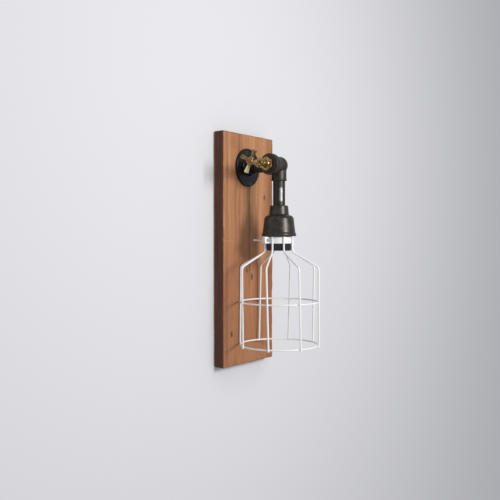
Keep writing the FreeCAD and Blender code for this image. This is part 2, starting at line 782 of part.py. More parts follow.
def centre_contact():
    """Sprung tongue: a drilled foot under the insulator, a slope down, and a raised tip at the middle."""
    top = insulator_faces()[0] + shell_seat
    half, thick, drop = contact_width / 2, contact_thick, contact_drop
    foot_end, foot_start = -contact_terminal_r - 2.0, -contact_terminal_r + 1.8
    points = [(foot_end, 0), (foot_start, 0), (-0.6, -drop), (1.6, -drop), (2.6, -drop + 0.8),
              (2.6 + thick, -drop + 0.5), (1.8, -drop - thick), (-0.9, -drop - thick),
              (foot_start - 0.3, -thick), (foot_end, -thick)]
    ring = [V(x, lamp_y - half, top + z) for x, z in points]
    tongue = Part.Face(Part.makePolygon(ring + [ring[0]])).extrude(Y * (2 * half))
    return tongue.cut(rod(terminal_r - 0.4, 4, V(-contact_terminal_r, lamp_y, top - 2), Z))


def terminal_screws():
    """Slotted screws whose shanks go down through the insulator to what they hold."""
    reach = insulator_thick - shell_seat + 1.0
    screws = []
    for at, r in zip(terminal_places(), (terminal_r - 0.05, terminal_r - 0.45)):
        shaft = rod(r, reach, at - Z * reach, Z)
        head = rod(terminal_head_r, 1.8, at, Z)
        slot = box(at.x - 3, at.x + 3, at.y - 0.3, at.y + 0.3, at.z + 1.0, at.z + 2.5)
        screws.append(head.fuse(shaft).cut(slot))
    return screws


# ---------------------------------------------------------------- wiring
def lead(pole, x):
    """Insulated lead from its pole of the block, through arm, corner and drop, to the lampholder."""
    end = insulator_faces()[1] + lead_above_cap
    points = [V(pole, -lead_depth, block_top - lead_in_block), V(pole, -lead_depth, block_top + 3.0),
              V(x, -lead_depth, arm_height - lead_rise), V(x, -lead_depth, arm_height),
              V(x, lamp_y, arm_height),
              V(x, lamp_y, end)]
    return swept(points, [5.0, 5.0, lead_bend_r, lead_bend_r], lead_r)


def earth_lead():
    """Short earth lead from the terminal block straight up to the tag on the flange's back."""
    z = arm_height - earth_offset
    points = [V(earth_x, -lead_depth, block_top - lead_in_block), V(earth_x, -lead_depth, z),
              V(earth_x, plank_front + earth_cup_floor, z)]
    return swept(points, [earth_bend_r], lead_r)


def earth_tag():
    """Ring tag with a short barrel, clamped to the flange's back face."""
    z = arm_height - earth_offset
    ring = rod(3.2, 0.8, V(0, plank_front, z), Y)
    tail = box(0, earth_x + 1.4, plank_front, plank_front + 0.8, z - 1.5, z + 1.5)
    cup = rod(lead_r + 0.5, 4.0, V(earth_x, plank_front, z), Y)
    bore = rod(lead_r + screw_gap, 4.0, V(earth_x, plank_front + earth_cup_floor, z), Y)
    return ring.fuse([tail, cup]).cut([rod(1.35, 3, V(0, plank_front - 1, z), Y), bore])


def earth_screw():
    z = arm_height - earth_offset
    face = plank_front + 0.8
    head = rod(2.6, 1.6, V(0, face, z), Y)
    shaft = rod(1.25, 3.4, V(0, face, z), -Y)
    slot = box(-3, 3, face + 1.0, face + 3, z - 0.3, z + 0.3)
    return head.fuse(shaft).cut(slot)


def block_poles():
    return (-block_pitch, 0.0, block_pitch)


def block_screw_places():
    front = block_depth - pocket_depth
    heights = [block_low + block_height * share for share in (0.25, 0.75)]
    return [V(x, front, z) for x in block_poles() for z in heights]


def terminal_block():
    """Three-way moulded connector on the pocket's floor: a wire hole and two screws for each pole."""
    half, front = block_width / 2, block_depth - pocket_depth
    body = box(-half, half, -pocket_depth, front, block_low, block_top)
    body = body.makeFillet(0.8, [e for e in body.Edges if abs(e.tangentAt(e.FirstParameter).z) > 0.9])
    cuts = [rod(lead_r + 0.3, block_height + 2, V(x, -lead_depth, block_low - 1), Z)
            for x in block_poles()]
    cuts += [rod(block_screw_r, front + lead_depth + 0.1, spot, -Y) for spot in block_screw_places()]
    for x in (-block_pitch / 2, block_pitch / 2):
        cuts.append(box(x - 0.6, x + 0.6, front - 1.6, front + 1, block_low - 1, block_top + 1))
    return body.cut(cuts)


def block_screws():
    """Clamp screws with slotted tops, each pressing on its lead."""
    front = block_depth - pocket_depth
    length = front + lead_depth - lead_r - 0.5
    screws = []
    for spot in block_screw_places():
        screw = rod(block_screw_r - 0.05, length, spot - Y * 0.5, -Y)
        slot = box(spot.x - 2, spot.x + 2, front - 1.2, front + 1, spot.z - 0.3, spot.z + 0.3)
        screws.append(screw.cut(slot))
    return screws


# ---------------------------------------------------------------- cage
def cage_wire(turn):
    """One upright of the cage: down the collar, out over the shoulder, and down, with the cage's twist."""
    def at(radius, low, twist):
        a = math.radians(turn + twist)
        return V(-radius * math.sin(a), lamp_y - radius * math.cos(a), collar_mid - low)
    shoulder = cage_body_twist_deg
    neck = cage_body_twist_deg + cage_neck_twist_deg
    points = [at(cage_neck_r, -(collar_height / 2 + cage_wire_rise), neck),
              at(cage_neck_r, cage_neck_low, neck),
              at(cage_body_r, cage_shoulder_low, shoulder),
              at(cage_body_r, cage_bottom_low + cage_wire_tail, 0)]
    return swept(points, [neck_bend_r, shoulder_bend_r], wire_r)


def cage_ring(low):
    """Round hoop welded to the inside of the uprights."""
    return Part.makeTorus(hoop_out_r - ring_wire_r, ring_wire_r, V(0, lamp_y, collar_mid - low), Z)


def tab_hole_radius():
    return collar_out_r + tab_length / 2


def clamp_collar():
    """Split band round the lampholder with two tabs that the clamp screw draws together."""
    band = turned_z([(collar_in_r, collar_low), (collar_out_r, collar_low), (collar_out_r, collar_top),
                     (collar_in_r, collar_top)])
    half = collar_split / 2
    reach = collar_out_r + tab_length
    tabs = []
    for side in (-1, 1):
        x0, x1 = sorted((side * half, side * (half + collar_wall)))
        tab = box(x0, x1, lamp_y - reach, lamp_y - collar_in_r - 0.3, collar_low, collar_top)
        corners = [e for e in tab.Edges if abs(e.tangentAt(e.FirstParameter).x) > 0.9
                   and e.CenterOfMass.y < lamp_y - reach + 0.1]
        tabs.append(tab.makeFillet(2.4, corners))
    band = band.fuse(tabs)
    gap = box(-half, half, lamp_y - reach - 1, lamp_y - collar_in_r + 2, collar_low - 1, collar_top + 1)
    out = half + collar_wall + 1
    hole = rod(clamp_screw_r + clamp_hole_gap, 2 * out, V(-out, lamp_y - tab_hole_radius(), collar_mid), X)
    return round_the_lamp(band.cut([gap, hole]), collar_split_turn_deg)


def clamp_screw():
    """Pan-headed machine screw through both tabs, its head on the tab that faces forward."""
    face = collar_split / 2 + collar_wall
    origin = V(face, lamp_y - tab_hole_radius(), collar_mid)
    r, h = clamp_screw_head_r, clamp_screw_head
    body = turned([(0, h), (r * 0.62, h * 0.94), (r * 0.94, h * 0.55), (r, h * 0.2), (r, 0),
                   (clamp_screw_r, 0),
                   (clamp_screw_r, 0.6 - clamp_screw_length), (clamp_screw_r - 0.6, -clamp_screw_length),
                   (0, -clamp_screw_length)], origin, X, Z)
    y = origin.y
    cross = [box(face + h * 0.45, face + h + 1, y - 1.7, y + 1.7, collar_mid - 0.35, collar_mid + 0.35),
             box(face + h * 0.45, face + h + 1, y - 0.35, y + 0.35, collar_mid - 1.7, collar_mid + 1.7)]
    return round_the_lamp(body.cut(cross), collar_split_turn_deg)


def clamp_nut():
    face = -collar_split / 2 - collar_wall
    origin = V(face, lamp_y - tab_hole_radius(), collar_mid)
    nut = chamfered_hexagon(clamp_nut_flats, origin, -X, clamp_nut_thick, Z)
    nut = nut.cut(rod(clamp_screw_r + 0.05, 10, origin + X * 5, -X))
    return round_the_lamp(nut, collar_split_turn_deg)


# ---------------------------------------------------------------- write every node
def main():
    os.makedirs("parts", exist_ok=True)
    save("plank", plank())
    for name, at in zip(("hanger_left", "hanger_right"), hanger_places()):
        save(name, hanger(at))
    save("hanger_screws", *hanger_screws())
    save("floor_flange", floor_flange())
    save("flange_screws", *flange_screws())
    save("arm_nipple", arm_nipple())
    save("corner_fitting", corner_fitting())
    save("drop_nipple", drop_nipple())
    save("bell_reducer", bell_reducer())
    save("tap_seal", tap_seal())
    save("tap_bonnet", tap_bonnet())
    save("gland_packing", gland_packing())
    save("gland_nut", gland_nut())
    save("tap_spindle", tap_spindle())
    save("cross_handle", cross_handle())
    save("handle_screw", handle_screw())
    save("tap_jumper", tap_jumper())
    save("tap_washer", tap_washer())
    save("holder_carrier", holder_carrier())
    save("entry_tube", entry_tube())
    save("lock_nut", lock_nut())
    save("holder_cap", holder_cap())
    save("holder_skirt", holder_skirt())
    save("holder_insulator", holder_insulator())
    save("thread_shell", thread_shell())
    save("centre_contact", centre_contact())
    save("terminal_screws", *terminal_screws())
    save("live_lead", lead(0.0, lead_spread))
    save("neutral_lead", lead(-block_pitch, -lead_spread))
    save("earth_lead", earth_lead())
    save("earth_tag", earth_tag())
    save("earth_screw", earth_screw())
    save("terminal_block", terminal_block())
    save("block_screws", *block_screws())
    for k in range(cage_wires):
        save("cage_wire_%d" % (k + 1), cage_wire(cage_turn_deg + 360 / cage_wires * k))
    save("cage_hoop_middle", cage_ring(cage_middle_low))
    save("cage_hoop_bottom", cage_ring(cage_bottom_low))
    save("clamp_collar", clamp_collar())
    save("clamp_screw", clamp_screw())
    save("clamp_nut", clamp_nut())


main()
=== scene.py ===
"""Looks of the cage wall light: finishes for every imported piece, and finer shapes for the pieces that show.

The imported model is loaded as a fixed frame, in metres: origin at the middle of the plank's back face,
+X to the right seen from the front, +Y into the wall and +Z up."""

import math
from types import SimpleNamespace

import bmesh
import bpy
from bpy.props import FloatProperty, FloatVectorProperty, IntProperty, PointerProperty
from mathutils import Matrix, Vector, noise


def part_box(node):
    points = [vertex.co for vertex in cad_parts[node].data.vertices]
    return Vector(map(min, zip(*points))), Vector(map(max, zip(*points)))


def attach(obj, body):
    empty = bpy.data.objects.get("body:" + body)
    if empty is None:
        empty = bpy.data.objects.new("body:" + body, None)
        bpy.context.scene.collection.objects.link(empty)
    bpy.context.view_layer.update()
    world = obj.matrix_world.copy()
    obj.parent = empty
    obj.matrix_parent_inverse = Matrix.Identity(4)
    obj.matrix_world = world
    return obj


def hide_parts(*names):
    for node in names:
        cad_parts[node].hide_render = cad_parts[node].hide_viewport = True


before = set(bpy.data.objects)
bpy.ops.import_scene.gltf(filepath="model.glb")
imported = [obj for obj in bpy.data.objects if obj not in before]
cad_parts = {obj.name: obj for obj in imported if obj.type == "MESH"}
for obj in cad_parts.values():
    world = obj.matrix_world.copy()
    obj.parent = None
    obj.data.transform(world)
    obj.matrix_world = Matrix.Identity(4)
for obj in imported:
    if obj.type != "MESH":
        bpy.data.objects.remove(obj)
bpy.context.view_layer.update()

bl_info = {
    "name": "Cage wall light",
    "version": (1, 0, 0),
    "blender": (4, 5, 0),
    "location": "View3D > Sidebar > Wall light",
    "description": "Finishes and fine shapes for a pipe-arm wall light with a wire cage",
    "category": "Object",
}

MM = 0.001
BODY = "fixture"
HANDLE = "tap_handle"


# ---------------------------------------------------------------- places taken from the frame
def middle(node):
    """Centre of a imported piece's box."""
    low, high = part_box(node)
    return (low + high) / 2


PLANK_LOW, PLANK_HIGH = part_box("plank")
LAMP = middle("bell_reducer")
ARM_Z = middle("floor_flange").z


# ---------------------------------------------------------------- shader expressions
class Value:
    """A shader socket that takes part in Python arithmetic; each operation adds a Math node."""

    def __init__(self, shade, out):
        self.shade = shade
        self.out = out

    def math(self, operation, *others):
        return self.shade.add("ShaderNodeMath", {"operation": operation}, [self, *others])

    def __add__(self, other):
        return self.math("ADD", other)

    def __radd__(self, other):
        return self.math("ADD", other)

    def __sub__(self, other):
        return self.math("SUBTRACT", other)

    def __rsub__(self, other):
        return self.shade.add("ShaderNodeMath", {"operation": "SUBTRACT"}, [other, self])

    def __mul__(self, other):
        return self.math("MULTIPLY", other)

    def __rmul__(self, other):
        return self.math("MULTIPLY", other)

    def __truediv__(self, other):
        return self.math("DIVIDE", other)

    def __rtruediv__(self, other):
        return self.shade.add("ShaderNodeMath", {"operation": "DIVIDE"}, [other, self])

    def __pow__(self, other):
        return self.math("POWER", other)

    def __neg__(self):
        return self.math("MULTIPLY", -1.0)

    def __abs__(self):
        return self.math("ABSOLUTE")

    def clamp(self):
        return self.shade.add("ShaderNodeClamp", {}, [self])

    def above(self, low, high):
        """0 below low, 1 above high, and smooth between."""
        return self.shade.add("ShaderNodeMapRange", {"interpolation_type": "SMOOTHSTEP"},
                              [self, low, high, 0.0, 1.0])


class Shade:
    """A material under construction, with one method that adds any node."""

    def __init__(self, name):
        self.material = bpy.data.materials.new(name)
        self.material.use_nodes = True
        self.tree = self.material.node_tree
        self.tree.nodes.clear()
        self.output = self.tree.nodes.new("ShaderNodeOutputMaterial")

    def add(self, kind, settings, inputs, out=0):
        """Adds a node, sets its settings, fills its inputs by place or by name, and gives one output."""
        node = self.tree.nodes.new(kind)
        for key, value in settings.items():
            if key == "stops":
                self.set_stops(node.color_ramp, value)
            else:
                setattr(node, key, value)
        pairs = inputs.items() if isinstance(inputs, dict) else enumerate(inputs)
        for key, value in pairs:
            socket = node.inputs[key]
            if isinstance(value, Value):
                self.tree.links.new(value.out, socket)
            else:
                socket.default_value = value
        return Value(self, node.outputs[out])

    @staticmethod
    def set_stops(ramp, stops):
        while len(ramp.elements) < len(stops):
            ramp.elements.new(0.5)
        for element, (place, colour) in zip(ramp.elements, stops):
            element.position = place
            element.color = (*colour, 1.0)

    def place(self):
        """Object coordinates in millimetres."""
        coords = self.add("ShaderNodeTexCoord", {}, {}, "Object")
        return self.add("ShaderNodeVectorMath", {"operation": "SCALE"}, {0: coords, "Scale": 1.0 / MM})

    def parts(self, vector):
        """The three components of a vector."""
        node = self.add("ShaderNodeSeparateXYZ", {}, [vector]).out.node
        return [Value(self, out) for out in node.outputs]

    def join(self, x, y, z):
        return self.add("ShaderNodeCombineXYZ", {}, [x, y, z])

    def stretched(self, vector, factors):
        return self.add("ShaderNodeVectorMath", {"operation": "MULTIPLY"}, [vector, factors])

    def noise(self, vector, scale, detail=3.0, roughness=0.55, warp=0.0):
        """Noise from 0 to 1; scale is in cells per unit of the vector."""
        values = {"Vector": vector, "Scale": scale, "Detail": detail, "Roughness": roughness,
                  "Distortion": warp}
        return self.add("ShaderNodeTexNoise", {}, values, "Fac")

    def cells(self, vector, scale):
        """Distance from the nearest of a set of scattered points."""
        return self.add("ShaderNodeTexVoronoi", {}, {"Vector": vector, "Scale": scale}, "Distance")

    def mix(self, first, second, share):
        """Colour mix; a plain colour is given as three numbers."""
        first, second = (c if isinstance(c, Value) else (*c, 1.0) for c in (first, second))
        node = self.add("ShaderNodeMix", {"data_type": "RGBA"}, {"Factor": share}).out.node
        for socket, value in ((node.inputs[6], first), (node.inputs[7], second)):
            if isinstance(value, Value):
                self.tree.links.new(value.out, socket)
            else:
                socket.default_value = value
        return Value(self, node.outputs[2])

    def ramp(self, share, stops):
        return self.add("ShaderNodeValToRGB", {"stops": stops}, [share], "Color")

    def bump(self, height, distance, strength):
        """Bump whose height runs from 0 to 1 over the given distance in millimetres."""
        return self.add("ShaderNodeBump", {},
                        {"Height": height, "Distance": distance * MM, "Strength": strength}, "Normal")

    def edge_wear(self, radius, width=0.15):
        """1 at sharp outer edges, from the difference of a bevelled normal and the true one."""
        soft = self.add("ShaderNodeBevel", {"samples": 4}, {"Radius": radius * MM}, "Normal")
        true = self.add("ShaderNodeNewGeometry", {}, {}, "Normal")
        dot = self.add("ShaderNodeVectorMath", {"operation": "DOT_PRODUCT"}, [soft, true], "Value")
        return (1.0 - dot).above(0.01, width)

    def finish(self, colour, rough, metallic=0.0, normal=None, **plain):
        """Principled surface; plain holds constants for its other sockets."""
        values = {"Base Color": colour, "Roughness": rough, "Metallic": metallic}
        if not isinstance(colour, Value):
            values["Base Color"] = (*colour, 1.0)
        if normal is not None:
            values["Normal"] = normal
        values.update({key.replace("_", " "): value for key, value in plain.items()})
        surface = self.add("ShaderNodeBsdfPrincipled", {}, values, "BSDF")
        self.tree.links.new(surface.out, self.output.inputs["Surface"])
        return self.material


# ---------------------------------------------------------------- finishes
# knots in the plank's face: x and z of the middle, and size, in mm
KNOTS = ((8.5, -51.0, 3.4), (-7.0, -39.0, 2.4), (48.0, 96.0, 2.6), (-52.0, -150.0, 3.0), (34.0, -128.0, 2.0))
# dark streaks in the plank's face: the last two are dark grain; the first two, behind the hanging bell and
# lampholder, are dark grain and painted shadow of them; x of the middle, width, strength, and the z where
# they begin and end
STREAKS_AND_LAMP_SHADOW = ((1.5, 5.0, 0.58, -60.0, 60.0), (23.0, 7.0, 0.44, -90.0, 60.0),
           (-66.0, 6.0, 0.22, -200.0, 200.0), (61.0, 9.0, 0.30, -200.0, 200.0))


def knot_push(shade, x, z, knot):
    """How far the grain is pushed sideways by a knot, and the distance from its middle."""
    knot_x, knot_z, size = knot
    across, along = x - knot_x, (z - knot_z) * 0.42
    distance = (across * across + along * along + 0.01) ** 0.5
    reach = shade.add("ShaderNodeMath", {"operation": "EXPONENT"}, [distance * (-1.0 / (size * 2.2))])
    return across / distance * reach * size * 1.5, distance


def pine_grain(shade, at):
    """Growth lines from broad to fine, pushed aside by the knots, and where the knots are."""
    x, y, z = shade.parts(at)
    push, holes = 0.0, None
    for knot in KNOTS:
        shove, distance = knot_push(shade, x, z, knot)
        push = shove + push
        spot = 1.0 - distance.above(knot[2] * 0.45, knot[2] * 1.15)
        holes = spot if holes is None else holes.math("MAXIMUM", spot)
    sway = shade.noise(shade.stretched(at, (0.012, 0.03, 0.0045)), 1.0, 2.0)
    wander = shade.noise(shade.stretched(at, (0.05, 0.08, 0.016)), 1.0, 3.0)
    across = x - push + y * 0.55 + sway * 46.0 + wander * 7.0
    grain_at = shade.join(across, y * 0.3, z * 0.035)
    medium = shade.noise(grain_at, 0.33, 4.0, 0.62)
    rings = (across * 0.62 + medium * 3.0).math("SINE") * 0.5 + 0.5
    return SimpleNamespace(
        broad=shade.noise(grain_at, 0.055, 3.0, 0.6),
        medium=medium,
        fine=shade.noise(grain_at, 1.7, 3.0, 0.7),
        lines=rings ** 3.0,
        fibre=shade.noise(shade.join(across, y, z * 0.02), 3.4, 2.0, 0.6),
        weave=shade.noise(shade.stretched(at, (0.25, 0.3, 0.35)), 1.0, 3.0, 0.7),
        wander=wander,
        knots=holes)


def pine_face(shade, at, grain, settings):
    """Colour of the front: growth lines, dark streaks (the two behind the hanging bell and lampholder partly
    painted shadow of them), patches of stain and dark knots.
    """
    x, _, z = shade.parts(at)
    colour = shade.ramp(grain.broad, [(0.30, settings.dark), (0.44, settings.mid), (0.58, settings.mid),
                                      (0.70, settings.light), (0.80, settings.pale)])
    colour = shade.mix(colour, settings.dark, grain.medium.above(0.52, 0.74) * 0.42)
    colour = shade.mix(colour, settings.pale, grain.medium.above(0.46, 0.30) * 0.32)
    colour = shade.mix(colour, settings.dark, grain.lines * 0.16)
    colour = shade.mix(colour, (0.060, 0.022, 0.010), grain.fine.above(0.60, 0.80) * 0.32)
    colour = shade.mix(colour, (0.70, 0.42, 0.22), grain.fibre.above(0.60, 0.75) * 0.20)
    # dark grain streaks; the two behind the hanging bell and lampholder also paint their shadow on the face
    for place, width, strength, low, high in STREAKS_AND_LAMP_SHADOW:
        streak_and_shadow = 1.0 - abs(x - place + grain.wander * 5.0 - 2.5).above(width * 0.2, width)
        along = z.above(low - 40.0, low + 20.0) * (1.0 - z.above(high - 30.0, high + 50.0))
        colour = shade.mix(colour, (0.130, 0.045, 0.020), streak_and_shadow * along * strength)
    stain = shade.noise(shade.stretched(at, (0.016, 0.02, 0.010)), 1.0, 4.0, 0.62)
    colour = shade.mix(colour, (0.20, 0.070, 0.034), stain.above(0.50, 0.72) * 0.42)
    colour = shade.mix(colour, (0.58, 0.30, 0.16), grain.weave.above(0.52, 0.75) * 0.25)
    redder = (1.0 - z.above(-60.0, 60.0)) * 0.34
    colour = shade.mix(colour, (0.27, 0.095, 0.044), redder)
    return shade.mix(colour, (0.030, 0.011, 0.006), grain.knots * 0.8)


def pine_sides(shade, at, grain):
    """Colour of the sawn sides and back, under a thicker coat of dark stain."""
    x, y, z = shade.parts(at)
    band = shade.noise(shade.join(x * 0.2, y * 2.0 + grain.wander * 5.0, z * 0.05), 0.30, 4.0, 0.6)
    colour = shade.ramp(band, [(0.30, (0.045, 0.014, 0.009)), (0.55, (0.100, 0.032, 0.019)),
                               (0.75, (0.170, 0.060, 0.034))])
    return shade.mix(colour, (0.30, 0.15, 0.085), y.above(-3.0, -1.0) * 0.75)


def pine_front(shade, at):
    """1 on the front, and less where the sides' dark stain creeps round the worn arrises."""
    x, y, z = shade.parts(at)
    creep = shade.noise(shade.stretched(at, (0.1, 0.3, 0.06)), 1.0, 3.0, 0.6)
    front = 1.0 - y.above(PLANK_LOW.y / MM + 0.4, PLANK_LOW.y / MM + 1.6)
    to_side = shade.add("ShaderNodeMath", {"operation": "MINIMUM"},
                        [PLANK_HIGH.x / MM - abs(x), PLANK_HIGH.z / MM - abs(z)])
    return front * (to_side + (creep - 0.5) * 3.2).above(0.3, 1.7)


def pine_marks(shade, at, front):
    """A dent across the left of the front, and light scratches."""
    x, _, z = shade.parts(at)
    dent = (1.0 - abs(z - 14.5 + x * 0.02).above(0.25, 1.3)) * (1.0 - x.above(-50.0, -38.0)) * front
    scuffs = shade.cells(shade.stretched(at, (0.07, 0.2, 0.016)), 1.0)
    return dent * x.above(-75.0, -71.0), (1.0 - scuffs.above(0.02, 0.07)) * front


def stained_pine(settings):
    """Brown stained, hand-worn pine: stretched growth lines, knots, dark grain, rubbed streaks and dents,
    with painted shadow of the hanging bell and lampholder in the two dark streaks behind them.
    """
    shade = Shade("stained_pine")
    at = shade.place()
    grain = pine_grain(shade, at)
    front = pine_front(shade, at)
    dent, scratch = pine_marks(shade, at, front)
    colour = shade.mix(pine_sides(shade, at, grain), pine_face(shade, at, grain, settings), front)
    colour = shade.mix(colour, (0.55, 0.33, 0.20), dent * 0.28)
    colour = shade.mix(colour, (0.62, 0.38, 0.22), scratch * 0.25)
    rough = 0.55 + grain.fine * 0.16 - dent * 0.1 + grain.medium * 0.08
    relief = grain.fine * 0.5 + grain.lines * 0.3 + grain.medium * 0.5 + grain.weave * 0.25
    relief = relief - grain.knots * 0.9 - dent - scratch * 0.3
    return shade.finish(colour, rough, 0.0, shade.bump(relief, 0.5, 0.9), Specular_IOR_Level=0.35)


def black_iron(name, settings, tone, roughness, grain=1.0):
    """Cast or drawn black iron: a warm near-black skin, sand grain, greasy patches and rubbed edges."""
    shade = Shade(name)
    at = shade.place()
    cast = shade.noise(at, 1.35, 4.0, 0.6)
    pits = shade.cells(at, 0.85)
    patch = shade.noise(at, 0.11, 3.0, 0.6, 0.4)
    dust = shade.noise(at, 0.32, 4.0, 0.6)
    colour = shade.mix(tone, [c * 1.75 for c in tone], patch.above(0.42, 0.68))
    colour = shade.mix(colour, (0.070, 0.046, 0.034), dust.above(0.56, 0.74) * 0.40)
    wear = shade.edge_wear(0.8) * shade.noise(at, 0.5, 2.0).above(0.40, 0.60)
    colour = shade.mix(colour, (0.19, 0.175, 0.165), wear * 0.55)
    rough = roughness + (cast - 0.5) * 0.16 + (patch - 0.5) * 0.22 - wear * 0.08
    height = cast * 0.7 + pits.above(0.0, 0.45) * 0.3
    normal = shade.bump(height, 0.16 * grain, 0.85)
    return shade.finish(colour, rough, settings.metallic, normal, Specular_IOR_Level=0.5)


def pipe_with_painted_highlight(settings):
    """Drawn black pipe: lengthwise drawing marks, and a painted highlight: a bright grey patch on the drop,
    turned towards the front light and the camera.
    """
    shade = Shade("pipe_with_painted_highlight")
    at = shade.place()
    x, y, z = shade.parts(at)
    aside = x - LAMP.x / MM
    ahead = y - LAMP.y / MM
    angle = shade.add("ShaderNodeMath", {"operation": "ARCTAN2"}, [-aside, -ahead]) * (180.0 / math.pi)
    marks = shade.noise(shade.join(angle * 0.11, 0.0, z * 0.03), 3.0, 4.0, 0.65)
    skin = shade.noise(at, 0.25, 4.0, 0.6)
    ragged = shade.noise(shade.join(angle * 0.05, 0.0, z * 0.14), 1.0, 4.0, 0.7)
    # painted highlight: a bright grey band on the drop, turned 36 degrees from straight ahead towards the
    # camera's side, where the front light's reflection falls; the lengthwise marks break it up
    width = 1.0 - abs(angle - 36.0 + (ragged - 0.5) * 16.0).above(9.0, 21.0)
    height = z.above(82.0, 87.0) * (1.0 - z.above(105.0, 110.0))
    patch = width * height * marks.above(0.30, 0.52)
    colour = shade.mix(settings.pipe, [c * 1.8 for c in settings.pipe], skin.above(0.4, 0.7))
    colour = shade.mix(colour, (0.080, 0.055, 0.045), skin.above(0.60, 0.72) * 0.4)
    colour = shade.mix(colour, (0.33, 0.33, 0.33), patch * 0.75)
    rough = 0.40 + (marks - 0.5) * 0.22 + (skin - 0.5) * 0.2 - patch * 0.02
    normal = shade.bump(marks * 0.6 + skin * 0.4, 0.10, 0.8)
    return shade.finish(colour, rough, settings.metallic, normal, Specular_IOR_Level=0.5)


def brass(name, tone, roughness, tarnish, painted_highlight=0.0):
    """Polished brass with fine turning lines about the tap's axis, brown tarnish and small dark specks.

    A painted highlight can be laid over the tarnish: a bright pale-gold patch low on the side nearest the
    wall, where the front light's reflection falls."""
    shade = Shade(name)
    at = shade.place()
    x, y, z = shade.parts(at)
    lines = shade.noise(shade.join(x, 0.0, 0.0), 6.0, 2.0, 0.6)
    cloud = shade.noise(at, 0.16, 4.0, 0.6, 0.5)
    specks = shade.noise(at, 1.3, 3.0, 0.7)
    brown = [tone[0] * 0.34, tone[1] * 0.27, tone[2] * 0.20]
    colour = shade.mix(tone, brown, cloud.above(0.36, 0.60) * tarnish)
    colour = shade.mix(colour, (0.07, 0.035, 0.015), specks.above(0.58, 0.76) * 0.6 * tarnish)
    # painted highlight: the low arm nearest the wall is brightened towards pale gold where the front light's
    # reflection falls
    if painted_highlight:
        low = (ARM_Z / MM - z).above(3.0, 11.0) * (y - LAMP.y / MM).above(-1.0, 5.0)
        colour = shade.mix(colour, (0.86, 0.70, 0.44), low * painted_highlight)
    rough = roughness + cloud.above(0.4, 0.7) * 0.16 + (lines - 0.5) * 0.08
    normal = shade.bump(lines * 0.4 + specks * 0.6, 0.03, 0.6)
    return shade.finish(colour, rough, 1.0, normal)


def powder_coat(name, tone):
    """White powder coat: orange-peel surface, faint grime in patches and thin rubbed spots."""
    shade = Shade(name)
    at = shade.place()
    peel = shade.noise(at, 1.1, 2.0, 0.5)
    grime = shade.noise(at, 0.07, 4.0, 0.65)
    speck = shade.noise(at, 0.9, 2.0, 0.6)
    colour = shade.mix(tone, [c * 0.80 for c in tone], grime.above(0.50, 0.78) * 0.55)
    colour = shade.mix(colour, (0.42, 0.40, 0.37), speck.above(0.70, 0.80) * 0.35)
    rough = 0.34 + (grime - 0.5) * 0.18 + (peel - 0.5) * 0.06
    normal = shade.bump(peel, 0.05, 0.7)
    return shade.finish(colour, rough, 0.0, normal, Coat_Weight=0.15, Coat_Roughness=0.25)


def plated(name, tone, roughness):
    """Zinc-plated steel with a faint spangle and slight fingerprints."""
    shade = Shade(name)
    at = shade.place()
    spangle = shade.cells(at, 0.55)
    haze = shade.noise(at, 0.3, 4.0, 0.6)
    colour = shade.mix(tone, [c * 0.68 for c in tone], haze.above(0.44, 0.70))
    colour = shade.mix(colour, (0.55, 0.52, 0.44), spangle.above(0.3, 0.8) * 0.18)
    rough = roughness + (haze - 0.5) * 0.24 + spangle * 0.05
    normal = shade.bump(haze * 0.7 + spangle * 0.3, 0.03, 0.6)
    return shade.finish(colour, rough, 1.0, normal)


def moulded(name, tone, roughness, mottle=0.25):
    """Moulded plastic, rubber or fibre with a matt grain and slight mottling."""
    shade = Shade(name)
    at = shade.place()
    grain = shade.noise(at, 2.4, 3.0, 0.6)
    cloud = shade.noise(at, 0.2, 3.0, 0.6)
    colour = shade.mix(tone, [min(1.0, c * 1.6 + 0.004) for c in tone], cloud.above(0.42, 0.7) * mottle)
    rough = roughness + (grain - 0.5) * 0.12 + (cloud - 0.5) * 0.14
    return shade.finish(colour, rough, 0.0, shade.bump(grain, 0.04, 0.6))


def two_tone_sleeve(name, first, second):
    """Lead insulation in two colours, striped lengthwise."""
    shade = Shade(name)
    at = shade.place()
    x, _, _ = shade.parts(at)
    wander = shade.noise(at, 0.2, 2.0)
    stripe = (x - middle("earth_lead").x / MM + (wander - 0.5) * 0.1).above(-0.1, 0.1)
    grain = shade.noise(at, 2.0, 3.0)
    colour = shade.mix(first, second, stripe)
    return shade.finish(colour, 0.42 + (grain - 0.5) * 0.1, 0.0, shade.bump(grain, 0.03, 0.5))


def glazed(name, tone):
    """Glazed ceramic with a soft waviness and a few dark specks."""
    shade = Shade(name)
    at = shade.place()
    wave = shade.noise(at, 0.15, 2.0)
    specks = shade.noise(at, 1.6, 2.0, 0.7).above(0.72, 0.80)
    colour = shade.mix(tone, (0.30, 0.26, 0.20), specks * 0.6)
    return shade.finish(colour, 0.16 + wave * 0.12, 0.0, shade.bump(wave, 0.08, 0.5), Coat_Weight=0.4)


# ---------------------------------------------------------------- mesh helpers
def new_piece(name, mesh, body, material, replaced=()):
    """Links a mesh as a piece that rides on a body and takes its finish from the given slot."""
    piece = bpy.data.objects.new(name, mesh)
    bpy.context.scene.collection.objects.link(piece)
    mesh.materials.clear()
    mesh.materials.append(material)
    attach(piece, body)
    if replaced:
        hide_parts(*replaced)
    return piece


def mesh_of(bm, name, smooth_angle=None):
    """Ends a bmesh as a mesh, smooth shaded below the given angle in degrees."""
    mesh = bpy.data.meshes.new(name)
    bm.to_mesh(mesh)
    bm.free()
    if smooth_angle is not None:
        mesh.shade_smooth()
        mesh.set_sharp_from_angle(angle=math.radians(smooth_angle))
    return mesh


def merged_copy(node):
    """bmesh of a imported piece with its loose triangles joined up."""
    bm = bmesh.new()
    bm.from_mesh(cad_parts[node].data)
    bmesh.ops.remove_doubles(bm, verts=bm.verts, dist=2e-6)
    return bm


